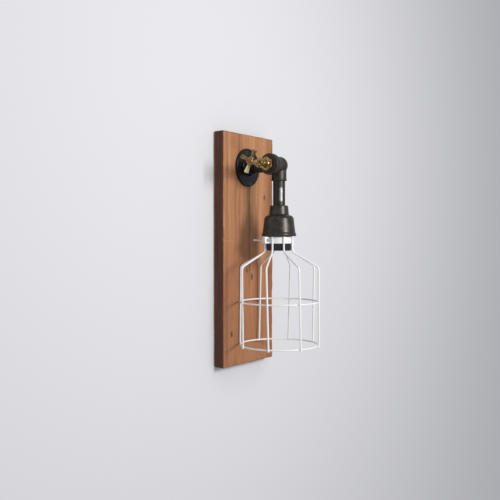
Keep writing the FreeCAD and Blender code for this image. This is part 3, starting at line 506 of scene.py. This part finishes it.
def with_modifiers(mesh, name, steps):
    """Mesh after a list of modifiers, each given as (type, settings)."""
    holder = bpy.data.objects.new(name, mesh)
    bpy.context.scene.collection.objects.link(holder)
    for kind, settings in steps:
        modifier = holder.modifiers.new(kind.title(), kind)
        for key, value in settings.items():
            setattr(modifier, key, value)
    graph = bpy.context.evaluated_depsgraph_get()
    result = bpy.data.meshes.new_from_object(holder.evaluated_get(graph))
    bpy.data.objects.remove(holder)
    return result


def cast_piece(node, body, material, voxel, rounds):
    """Softens a packed casting's creases with a fine remesh and a few smoothing rounds."""
    plain = mesh_of(merged_copy(node), node + "_plain")
    steps = [("REMESH", {"mode": "VOXEL", "voxel_size": voxel * MM}),
             ("SMOOTH", {"factor": 0.5, "iterations": rounds})]
    mesh = with_modifiers(plain, node + "_soft", steps)
    mesh.name = node + "_cast"
    mesh.shade_smooth()
    return new_piece(node + "_cast", mesh, body, material, (node,))


def round_edges(bm, sharpest, width, segments):
    """Rounds every edge that turns by more than the given angle in radians; width is in metres."""
    sharp = [e for e in bm.edges if len(e.link_faces) == 2 and e.calc_face_angle(0.0) > sharpest]
    bmesh.ops.bevel(bm, geom=sharp, offset=width, offset_type="OFFSET", affect="EDGES", segments=segments,
                    profile=0.5, material=-1, clamp_overlap=True)


def crisp_piece(node, body, material, width):
    """Gives a packed machined piece small rounded edges."""
    bm = merged_copy(node)
    bmesh.ops.dissolve_limit(bm, angle_limit=math.radians(0.6), use_dissolve_boundaries=False, verts=bm.verts,
                             edges=bm.edges, delimit=set())
    round_edges(bm, math.radians(32.0), width * MM, 2)
    mesh = mesh_of(bm, node + "_crisp", 40.0)
    return new_piece(node + "_crisp", mesh, body, material, (node,))


def helix_sheet(profile, pitch, turns, steps, axis, origin, side):
    """Thread surface: a profile of (radius, share of pitch) points screwed about axis from origin."""
    bm = bmesh.new()
    verts = [bm.verts.new(origin + side * radius + axis * (share * pitch)) for radius, share in profile]
    edges = [bm.edges.new(pair) for pair in zip(verts, verts[1:])]
    bmesh.ops.spin(bm, geom=verts + edges, cent=origin, axis=axis, dvec=axis * (pitch / steps),
                   angle=math.tau * turns, steps=int(steps * turns), use_merge=False, use_duplicate=False)
    bmesh.ops.remove_doubles(bm, verts=bm.verts, dist=1e-6)
    return bm


def cut_ends(bm, origin, axis, low, high, fill):
    """Trims a bmesh square to axis at two distances from origin."""
    for distance, outward in ((low, -1.0), (high, 1.0)):
        geom = bm.verts[:] + bm.edges[:] + bm.faces[:]
        cut = bmesh.ops.bisect_plane(bm, geom=geom, dist=1e-7, plane_co=origin + axis * distance,
                                     plane_no=axis * outward, clear_outer=True)
        if fill:
            rim = [e for e in cut["geom_cut"] if isinstance(e, bmesh.types.BMEdge)]
            bmesh.ops.holes_fill(bm, edges=rim, sides=0)
    bmesh.ops.recalc_face_normals(bm, faces=bm.faces)


def give(nodes, material):
    """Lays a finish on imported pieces."""
    for name in nodes:
        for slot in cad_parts[name].material_slots:
            slot.link = "OBJECT"
            slot.material = material


# ---------------------------------------------------------------- settings
def colour_setting(name, description, default):
    return FloatVectorProperty(name=name, description=description, default=default, subtype="COLOR", size=3,
                               min=0.0, max=1.0)


class PlankSettings(bpy.types.PropertyGroup):
    dark: colour_setting("Dark grain", "Stain in the dark growth lines", (0.215, 0.082, 0.038))
    mid: colour_setting("Middle tone", "Stain over most of the face", (0.395, 0.175, 0.078))
    light: colour_setting("Light tone", "Stain where the wood took less", (0.500, 0.250, 0.110))
    pale: colour_setting("Rubbed tone", "Worn streaks along the grain", (0.620, 0.345, 0.165))
    edge_wear: FloatProperty(name="Edge wear", description="Depth of the knocks along the edges",
                             default=0.0011, unit="LENGTH", min=0.0, max=0.003)
    face_wave: FloatProperty(name="Face relief", description="Depth of the worn grain on the face",
                             default=0.00028, unit="LENGTH", min=0.0, max=0.001)


class IronSettings(bpy.types.PropertyGroup):
    cast: colour_setting("Casting", "Skin of the black castings", (0.030, 0.025, 0.022))
    flange: colour_setting("Flange", "Bluer skin of the floor flange", (0.0075, 0.007, 0.008))
    pipe: colour_setting("Pipe", "Skin of the pipes", (0.021, 0.017, 0.016))
    metallic: FloatProperty(name="Metallic", description="How metallic the black skin looks", default=0.55,
                            subtype="FACTOR", min=0.0, max=1.0)
    grain: FloatProperty(name="Casting detail", description="Size of the smallest detail kept on castings",
                         default=0.0006, unit="LENGTH", min=0.0003, max=0.002)


class TapSettings(bpy.types.PropertyGroup):
    brass: colour_setting("Brass", "Bare brass", (0.56, 0.385, 0.165))
    screw: colour_setting("Handle screw", "Reddish aged screw", (0.34, 0.15, 0.085))
    tarnish: FloatProperty(name="Tarnish", description="Strength of the brown tarnish", default=0.9,
                           subtype="FACTOR", min=0.0, max=1.0)


class CageSettings(bpy.types.PropertyGroup):
    white: colour_setting("Powder coat", "White coat on wires and collar", (0.80, 0.80, 0.81))
    weld_size: FloatProperty(name="Weld size", description="Radius of the weld beads", default=0.0016,
                             unit="LENGTH", min=0.0005, max=0.003)
    uprights: IntProperty(name="Uprights", description="Number of upright wires", default=8, min=3, max=16)


class StageSettings(bpy.types.PropertyGroup):
    wall: colour_setting("Wall", "Plain backdrop", (0.66, 0.66, 0.69))
    key_power: FloatProperty(name="Key light", description="Power of the large front light", default=16.0,
                             unit="POWER", min=0.0)
    fill: FloatProperty(name="Fill", description="Strength of the even light all round", default=0.55,
                        min=0.0)


# ---------------------------------------------------------------- operators
class Dresser(bpy.types.Operator):
    """Base of the operators that dress one group of pieces"""

    bl_options = {"REGISTER", "UNDO"}

    def execute(self, context):
        self.dress(context.scene)
        return {"FINISHED"}


def block(low, high):
    """Plain box between two corners, as a bmesh."""
    bm = bmesh.new()
    place = Matrix.Translation((low + high) / 2) @ Matrix.Diagonal((*(high - low), 1))
    bmesh.ops.create_cube(bm, size=1.0, matrix=place)
    return bm


def slab(low, high, cell):
    """Box cut into a grid of about the given cell, as a bmesh."""
    bm = block(low, high)
    size = high - low
    for k, normal in enumerate(Matrix.Identity(3)):
        count = max(1, round(size[k] / cell))
        for step in range(1, count):
            geom = bm.verts[:] + bm.edges[:] + bm.faces[:]
            bmesh.ops.bisect_plane(bm, geom=geom, dist=1e-7, plane_co=low + normal * (size[k] * step / count),
                                   plane_no=normal)
    return bm


def worn(point, low, high, settings):
    """Where a point of the slab goes: knocks along the edges, and a shallow relief on the front."""
    inside = [min(point[k] - low[k], high[k] - point[k]) for k in range(3)]
    inside.sort()
    near_edge = inside[1]
    rough = noise.fractal(Vector((point.x * 60, point.y * 120, point.z * 45)), 1.0, 2.0, 4)
    coarse = noise.noise(Vector((point.x * 14, point.y * 30, point.z * 17)) + Vector((3.1, 7.7, 1.3)))
    reach = 0.0045
    share = max(0.0, 1.0 - near_edge / reach) ** 1.6
    depth = settings.edge_wear * share * (0.55 + 0.65 * rough + 0.75 * coarse)
    depth = max(depth, settings.edge_wear * 0.12 * share)
    centre = (low + high) / 2
    moved = point.copy()
    for k in range(3):
        if min(point[k] - low[k], high[k] - point[k]) < reach:
            moved[k] -= math.copysign(depth, point[k] - centre[k])
    if point.y < low.y + 1e-6 and near_edge > 1e-6:
        ridge = noise.fractal(Vector((point.x * 260 + coarse * 3, 0.0, point.z * 9)), 1.0, 2.0, 3)
        moved.y += settings.face_wave * (0.6 + ridge * 0.6)
    return moved


# what is cut out of the plank's back, in metres
POCKET_HALF_WIDTH = 0.023
POCKET_DEPTH = 0.013
POCKET_LOW, POCKET_HIGH = 0.1053, 0.1673
LEAD_HOLE_RADIUS, LEAD_HOLE_CUT = 0.018, 0.06
SCREW_ROOM_HALF = 0.0056        # recess behind each hanger's keyhole, for the wall screw's head
SCREW_ROOM_DEPTH = 0.009
SCREW_ROOM_RISE = 0.0156
KEYHOLE_HEIGHT = 0.015          # keyhole's wide end above the hanger's lower end
PAST_THE_BACK = 0.01            # how far the cutters stand out behind the plank


def cutters():
    """What is cut out of the plank: the pocket, the flange's hole and the hangers' recesses."""
    boxes = [(Vector((LAMP.x - POCKET_HALF_WIDTH, -POCKET_DEPTH, POCKET_LOW)),
              Vector((LAMP.x + POCKET_HALF_WIDTH, PAST_THE_BACK, POCKET_HIGH)))]
    rounds = [(Vector((LAMP.x, PAST_THE_BACK, ARM_Z)), LEAD_HOLE_RADIUS, LEAD_HOLE_CUT)]
    for node in ("hanger_left", "hanger_right"):
        low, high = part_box(node)
        boxes.append((low.copy(), Vector((high.x, PAST_THE_BACK, high.z))))
        head = Vector(((low.x + high.x) / 2, 0, low.z + KEYHOLE_HEIGHT))
        boxes.append((head + Vector((-SCREW_ROOM_HALF, -SCREW_ROOM_DEPTH, -SCREW_ROOM_HALF)),
                      head + Vector((SCREW_ROOM_HALF, 0.0, SCREW_ROOM_RISE))))
    return boxes, rounds


class WALLLIGHT_OT_plank(Dresser):
    """Builds the worn plank with its pocket and recesses"""

    bl_idname = "walllight.plank"
    bl_label = "Plank"

    def dress(self, scene):
        settings = scene.walllight_plank
        cell, arris_radius, corner = 0.0026, 0.0013, 1.0
        bm = slab(PLANK_LOW, PLANK_HIGH, cell)
        round_edges(bm, corner, arris_radius, 3)
        for vert in bm.verts:
            vert.co = worn(vert.co, PLANK_LOW, PLANK_HIGH, settings)
        board = mesh_of(bm, "plank_slab")
        steps = [("BOOLEAN", {"operation": "DIFFERENCE", "object": cutter, "solver": "EXACT"})
                 for cutter in self.cutter_objects()]
        mesh = with_modifiers(board, "plank_cut", steps)
        for cutter in [step[1]["object"] for step in steps]:
            bpy.data.objects.remove(cutter)
        mesh.shade_smooth()
        mesh.set_sharp_from_angle(angle=math.radians(38))
        new_piece("plank_worn", mesh, BODY, stained_pine(settings), ("plank",))

    def cutter_objects(self):
        boxes, rounds = cutters()
        objects = []
        for k, (low, high) in enumerate(boxes):
            objects.append(self.linked(mesh_of(block(low, high), "cutter_%d" % k)))
        for k, (centre, radius, depth) in enumerate(rounds):
            bm = bmesh.new()
            place = Matrix.Translation(centre) @ Matrix.Rotation(math.pi / 2, 4, "X")
            bmesh.ops.create_cone(bm, cap_ends=True, segments=64, radius1=radius, radius2=radius, depth=depth,
                                  matrix=place)
            objects.append(self.linked(mesh_of(bm, "round_cutter_%d" % k)))
        return objects

    @staticmethod
    def linked(mesh):
        piece = bpy.data.objects.new(mesh.name, mesh)
        bpy.context.scene.collection.objects.link(piece)
        return piece


class WALLLIGHT_OT_ironwork(Dresser):
    """Gives the flange, pipes, corner fitting and bell reducer their cast and drawn skins"""

    bl_idname = "walllight.ironwork"
    bl_label = "Ironwork"

    def dress(self, scene):
        settings = scene.walllight_iron
        voxel = settings.grain / MM
        casting = black_iron("cast_iron_skin", settings, settings.cast, 0.40)
        flange = black_iron("flange_skin", settings, settings.flange, 0.34, 0.8)
        bell = black_iron("bell_skin", settings, settings.cast, 0.34, 0.7)
        cast_piece("corner_fitting", BODY, casting, voxel, 6)
        cast_piece("floor_flange", BODY, flange, voxel, 3)
        cast_piece("bell_reducer", BODY, bell, voxel, 4)
        # the pipes' finish carries a painted highlight on the drop
        give(["arm_nipple", "drop_nipple"], pipe_with_painted_highlight(settings))
        give(["flange_screws"], plated("blackened_screw", (0.035, 0.032, 0.032), 0.42))


class WALLLIGHT_OT_tap(Dresser):
    """Polishes the tap's brass and rounds its edges"""

    bl_idname = "walllight.tap"
    bl_label = "Tap"

    def dress(self, scene):
        settings = scene.walllight_tap
        headwork = brass("headwork_brass", list(settings.brass), 0.20, settings.tarnish)
        # the handle's brass carries a painted highlight on its low arm
        handle = brass("handle_brass", [c * 0.62 for c in settings.brass], 0.24, settings.tarnish * 0.8,
                       painted_highlight=0.9)
        screw = brass("handle_screw_brass", list(settings.screw), 0.30, settings.tarnish)
        bonnet = crisp_piece("tap_bonnet", BODY, headwork, 0.30)
        skin = black_iron("bonnet_flange_skin", scene.walllight_iron, (0.016, 0.014, 0.013), 0.42)
        self.blackened_flange(bonnet, skin)
        crisp_piece("gland_nut", BODY, headwork, 0.25)
        cast_piece("cross_handle", HANDLE, handle, 0.36, 4)
        crisp_piece("handle_screw", HANDLE, screw, 0.12)
        give(["tap_spindle", "tap_jumper"], headwork)
        give(["tap_seal"], moulded("fibre_seal", (0.035, 0.014, 0.010), 0.7))
        give(["tap_washer"], moulded("tap_washer_rubber", (0.020, 0.020, 0.020), 0.65))
        give(["gland_packing"], moulded("gland_packing_yarn", (0.62, 0.58, 0.46), 0.8))

    @staticmethod
    def blackened_flange(bonnet, skin):
        """The bonnet's round flange below its hexagon is blackened like the port that it closes."""
        mesh = bonnet.data
        mesh.materials.append(skin)
        axis = middle("tap_bonnet")
        port_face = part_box("tap_seal")[0].x
        inner_radius, thickness = 0.0135, 0.0024
        for face in mesh.polygons:
            corners = [mesh.vertices[k].co for k in face.vertices]
            radii = [math.hypot(co.y - axis.y, co.z - axis.z) for co in corners]
            if max(radii) > inner_radius and min(co.x for co in corners) > port_face - thickness:
                face.material_index = 1


class WALLLIGHT_OT_lampholder(Dresser):
    """Finishes the lampholder, with the rolled thread of its shell"""

    bl_idname = "walllight.lampholder"
    bl_label = "Lampholder"

    def dress(self, scene):
        black = moulded("black_phenolic", (0.010, 0.010, 0.011), 0.33)
        shell_brass = brass("shell_brass", [0.82, 0.70, 0.44], 0.22, 0.25)
        crisp_piece("holder_skirt", BODY, black, 0.25)
        give(["holder_cap"], black)
        give(["holder_insulator"], glazed("white_glaze", (0.78, 0.77, 0.72)))
        give(["terminal_screws"], shell_brass)
        give(["centre_contact"], brass("spring_bronze", [0.74, 0.47, 0.27], 0.28, 0.5))
        give(["holder_carrier"], plated("turned_steel", (0.42, 0.42, 0.42), 0.35))
        give(["entry_tube", "lock_nut"], plated("holder_zinc", (0.60, 0.60, 0.58), 0.32))
        self.rolled_shell(shell_brass)

    def rolled_shell(self, material):
        """Shell of rolled screw thread above a plain mouth, inside the black skirt."""
        low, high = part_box("thread_shell")
        wall, swing, pitch = 0.0005, 0.00035, 0.00362
        thread_low, thread_high = 0.0002, 0.0205        # above the shell's mouth
        mean = (high.x - low.x) / 2 - wall / 2 - swing * 0.2
        profile = [(mean + swing * math.cos(math.tau * k / 10), k / 10) for k in range(11)]
        mouth = Vector((LAMP.x, LAMP.y, low.z))
        up = Vector((0, 0, 1))
        turns = math.ceil((high.z - low.z) / pitch) + 1
        bm = helix_sheet(profile, pitch, turns, 48, up, mouth - up * pitch, Vector((1, 0, 0)))
        cut_ends(bm, mouth, up, thread_low, thread_high, False)
        mesh = mesh_of(bm, "shell_thread", 60.0)
        mesh = with_modifiers(mesh, "shell_wall", [("SOLIDIFY", {"thickness": wall, "offset": 0.0})])
        mesh.name = "shell_thread"
        new_piece("shell_thread", mesh, BODY, material)
        give(["thread_shell"], material)


class WALLLIGHT_OT_cage(Dresser):
    """Coats the cage and adds its weld beads and the clamp screw's thread"""

    bl_idname = "walllight.cage"
    bl_label = "Cage"

    def dress(self, scene):
        settings = scene.walllight_cage
        white = powder_coat("white_powder_coat", list(settings.white))
        band = powder_coat("white_collar_coat", [c * 1.02 for c in settings.white])
        give(["cage_wire_%d" % (k + 1) for k in range(settings.uprights)], white)
        give(["cage_hoop_middle", "cage_hoop_bottom"], white)
        crisp_piece("clamp_collar", BODY, band, 0.30)
        crisp_piece("clamp_nut", BODY, plated("nut_zinc", (0.50, 0.51, 0.53), 0.34), 0.20)
        screw = plated("screw_zinc", (0.70, 0.70, 0.69), 0.34)
        give(["clamp_screw"], screw)
        self.screw_thread(screw)
        self.welds(settings, white)

    def screw_thread(self, material):
        """Rolled thread along the clamp screw's shank, from its tip to the nut."""
        nut = middle("clamp_nut")
        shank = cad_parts["clamp_screw"].data.vertices
        tip = max((v.co for v in shank), key=lambda co: (co - nut).length)
        reach = Vector((tip.x - nut.x, tip.y - nut.y, 0.0))
        line = middle("clamp_screw") - nut
        line.z = 0.0
        line.normalize()
        start = nut + line * reach.dot(line)
        pitch, root, crest = 0.0005, 0.00138, 0.00158
        short_of_nut, short_of_tip = 0.0016, 0.0006
        turns = math.floor((reach.length - short_of_nut) / pitch)
        profile = [(root, 0.0), (crest, 0.5), (root, 1.0)]
        bm = helix_sheet(profile, pitch, turns, 14, -line, start, Vector((0, 0, 1)))
        cut_ends(bm, start, -line, short_of_tip, turns * pitch, True)
        mesh = mesh_of(bm, "clamp_thread", 30.0)
        new_piece("clamp_thread", mesh, BODY, material)

    def welds(self, settings, material):
        """Small coated beads where the uprights meet the hoops and the collar."""
        bm = bmesh.new()
        size = settings.weld_size
        low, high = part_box("clamp_collar")
        inset = 0.0012          # of the collar's beads from its rims
        # height, how far inwards, size and shape of each bead along an upright
        beads = [(middle("cage_hoop_middle").z, 0.00155, size, (0.75, 1.35, 1.0)),
                 (middle("cage_hoop_bottom").z, 0.00155, size, (0.75, 1.35, 1.0)),
                 (low.z + inset, 0.0014, size * 0.85, (0.55, 1.6, 0.9)),
                 (high.z - inset, 0.0014, size * 0.85, (0.55, 1.6, 0.9))]
        for k in range(settings.uprights):
            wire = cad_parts["cage_wire_%d" % (k + 1)].data.vertices
            for height, inwards, radius, shape in beads:
                centre = self.wire_at(wire, height)
                out = Vector((centre.x - LAMP.x, centre.y - LAMP.y, 0)).normalized()
                self.bead(bm, centre - out * inwards, out, radius, shape)
        mesh = mesh_of(bm, "cage_welds", 80.0)
        new_piece("cage_welds", mesh, BODY, material)

    @staticmethod
    def wire_at(vertices, height):
        """Centre of an upright at a height, from the run of its surface points above and below."""
        above = [v.co for v in vertices if v.co.z >= height]
        below = [v.co for v in vertices if v.co.z < height]
        up_z = min(co.z for co in above)
        down_z = max(co.z for co in below)
        up = [co for co in above if co.z < up_z + 0.0012]
        down = [co for co in below if co.z > down_z - 0.0012]
        top = sum(up, Vector()) / len(up)
        bottom = sum(down, Vector()) / len(down)
        span = top.z - bottom.z
        share = 0.5 if span < 1e-6 else (height - bottom.z) / span
        centre = bottom.lerp(top, max(0.0, min(1.0, share)))
        centre.z = height
        return centre

    @staticmethod
    def bead(bm, spot, out, size, shape):
        """Squashed ball whose shape is given outwards, sideways and upwards."""
        side = Vector((-out.y, out.x, 0))
        turn = Matrix((out, side, Vector((0, 0, 1)))).transposed().to_4x4()
        place = Matrix.Translation(spot) @ turn @ Matrix.Diagonal((*[size * s for s in shape], 1))
        bmesh.ops.create_icosphere(bm, subdivisions=2, radius=1.0, matrix=place)


class WALLLIGHT_OT_back(Dresser):
    """Finishes the hangers and the wiring behind the plank"""

    bl_idname = "walllight.back"
    bl_label = "Back"

    def dress(self, scene):
        give(["hanger_left", "hanger_right"], plated("hanger_zinc", (0.58, 0.57, 0.54), 0.36))
        small = plated("small_screws", (0.60, 0.58, 0.50), 0.30)
        give(["hanger_screws", "earth_screw", "block_screws"], small)
        give(["earth_tag"], brass("earth_tag_tinned", [0.70, 0.62, 0.50], 0.30, 0.3))
        give(["terminal_block"], moulded("block_nylon", (0.68, 0.66, 0.58), 0.45, 0.12))
        give(["live_lead"], moulded("brown_sleeve", (0.13, 0.045, 0.018), 0.42))
        give(["neutral_lead"], moulded("blue_sleeve", (0.02, 0.10, 0.36), 0.42))
        give(["earth_lead"], two_tone_sleeve("earth_sleeve", (0.05, 0.26, 0.03), (0.66, 0.55, 0.03)))


class WALLLIGHT_OT_stage(bpy.types.Operator):
    """Sets up the camera, the soft lights, the plain wall and the plain floor"""

    bl_idname = "walllight.stage"
    bl_label = "Stage"

    def execute(self, context):
        scene = context.scene
        settings = scene.walllight_stage
        self.camera(scene)
        self.lights(scene, settings)
        self.wall_and_floor(settings)
        scene.view_settings.view_transform = "Standard"
        return {"FINISHED"}

    @staticmethod
    def camera(scene):
        place = Vector((-1.0143, -0.7658, 0.0208))
        yaw, pitch = math.radians(53.793), math.radians(-1.024)
        focal_px, frame_px, sensor = 689.8, 500.0, 36.0
        data = bpy.data.cameras.new("photo_camera")
        data.sensor_width = sensor
        data.lens = focal_px / frame_px * sensor
        data.clip_start = 0.05
        camera = bpy.data.objects.new("photo_camera", data)
        camera.matrix_world = (Matrix.Translation(place) @ Matrix.Rotation(-yaw, 4, "Z")
                               @ Matrix.Rotation(math.pi / 2 + pitch, 4, "X"))
        scene.collection.objects.link(camera)
        scene.camera = camera

    @staticmethod
    def lights(scene, settings):
        data = bpy.data.lights.new("front_light", "AREA")
        data.shape = "RECTANGLE"
        data.size, data.size_y = 0.42, 0.42
        data.energy = settings.key_power
        data.color = (1.0, 0.985, 0.96)
        light = bpy.data.objects.new("front_light", data)
        place = Vector((-0.16, -1.45, 0.39))
        light.matrix_world = Matrix.Translation(place) @ (Vector((0, -0.05, 0.0)) - place).to_track_quat(
            "-Z", "Y").to_matrix().to_4x4()
        scene.collection.objects.link(light)
        world = bpy.data.worlds.new("even_light")
        world.use_nodes = True
        background = world.node_tree.nodes["Background"]
        background.inputs["Color"].default_value = (0.96, 0.975, 1.0, 1.0)
        background.inputs["Strength"].default_value = settings.fill
        scene.world = world

    def wall_and_floor(self, settings):
        plaster = self.plaster(settings)
        half, behind, rise, floor_z = 3.2, 0.0006, 0.6, -1.3
        upright = Matrix.Translation((0, behind, rise)) @ Matrix.Rotation(math.pi / 2, 4, "X")
        wall = self.sheet("backdrop_wall", upright, half, plaster)
        floor = self.sheet("plain_floor", Matrix.Translation((0, -half, floor_z)), half, plaster)

    @staticmethod
    def sheet(name, place, size, material):
        bm = bmesh.new()
        bmesh.ops.create_grid(bm, x_segments=1, y_segments=1, size=size, matrix=place)
        piece = bpy.data.objects.new(name, mesh_of(bm, name))
        piece.data.materials.append(material)
        bpy.context.scene.collection.objects.link(piece)
        return piece

    @staticmethod
    def plaster(settings):
        """Plain pale coat, seen only from its front, that lets light through from behind, and hides from
        reflections behind the plank, so that the metal let into its back still mirrors the room."""
        shade = Shade("plain_plaster")
        surface = shade.add("ShaderNodeBsdfDiffuse", {}, {"Color": (*settings.wall, 1.0)})
        clear = shade.add("ShaderNodeBsdfTransparent", {}, {})
        path = shade.add("ShaderNodeLightPath", {}, {}, "Is Camera Ray")
        x, _, z = shade.parts(shade.place())
        beside = shade.add("ShaderNodeMath", {"operation": "MAXIMUM"},
                           [abs(x) - PLANK_HIGH.x / MM, abs(z) - PLANK_HIGH.z / MM])
        glossy = Value(shade, path.out.node.outputs["Is Glossy Ray"]) * beside.above(0.0, 0.5)
        facing = 1.0 - shade.add("ShaderNodeNewGeometry", {}, {}, "Backfacing")
        seen = (path + glossy).clamp() * facing
        both = shade.add("ShaderNodeMixShader", {}, [seen, clear, surface])
        shade.tree.links.new(both.out, shade.output.inputs["Surface"])
        return shade.material


class WALLLIGHT_PT_panel(bpy.types.Panel):
    """Lists the operators and their settings"""

    bl_idname = "WALLLIGHT_PT_panel"
    bl_label = "Cage wall light"
    bl_space_type = "VIEW_3D"
    bl_region_type = "UI"
    bl_category = "Wall light"

    def draw(self, context):
        for operator, group in GROUPS:
            box = self.layout.box()
            box.operator(operator.bl_idname)
            if group:
                settings = getattr(context.scene, group)
                for name in settings.bl_rna.properties.keys():
                    if name not in {"rna_type", "name"}:
                        box.prop(settings, name)


GROUPS = (
    (WALLLIGHT_OT_plank, "walllight_plank"),
    (WALLLIGHT_OT_ironwork, "walllight_iron"),
    (WALLLIGHT_OT_tap, "walllight_tap"),
    (WALLLIGHT_OT_lampholder, None),
    (WALLLIGHT_OT_cage, "walllight_cage"),
    (WALLLIGHT_OT_back, None),
    (WALLLIGHT_OT_stage, "walllight_stage"),
)
SETTINGS = {"walllight_plank": PlankSettings, "walllight_iron": IronSettings, "walllight_tap": TapSettings,
            "walllight_cage": CageSettings, "walllight_stage": StageSettings}


def register():
    for group in SETTINGS.values():
        bpy.utils.register_class(group)
    for operator, _ in GROUPS:
        bpy.utils.register_class(operator)
    bpy.utils.register_class(WALLLIGHT_PT_panel)
    for name, group in SETTINGS.items():
        setattr(bpy.types.Scene, name, PointerProperty(type=group))


def unregister():
    for name in SETTINGS:
        delattr(bpy.types.Scene, name)
    bpy.utils.unregister_class(WALLLIGHT_PT_panel)
    for operator, _ in reversed(GROUPS):
        bpy.utils.unregister_class(operator)
    for group in reversed(SETTINGS.values()):
        bpy.utils.unregister_class(group)


def main():
    register()
    bpy.ops.walllight.stage()
    bpy.ops.walllight.plank()
    bpy.ops.walllight.ironwork()
    bpy.ops.walllight.tap()
    bpy.ops.walllight.lampholder()
    bpy.ops.walllight.cage()
    bpy.ops.walllight.back()


if __name__ == "__main__":
    main()
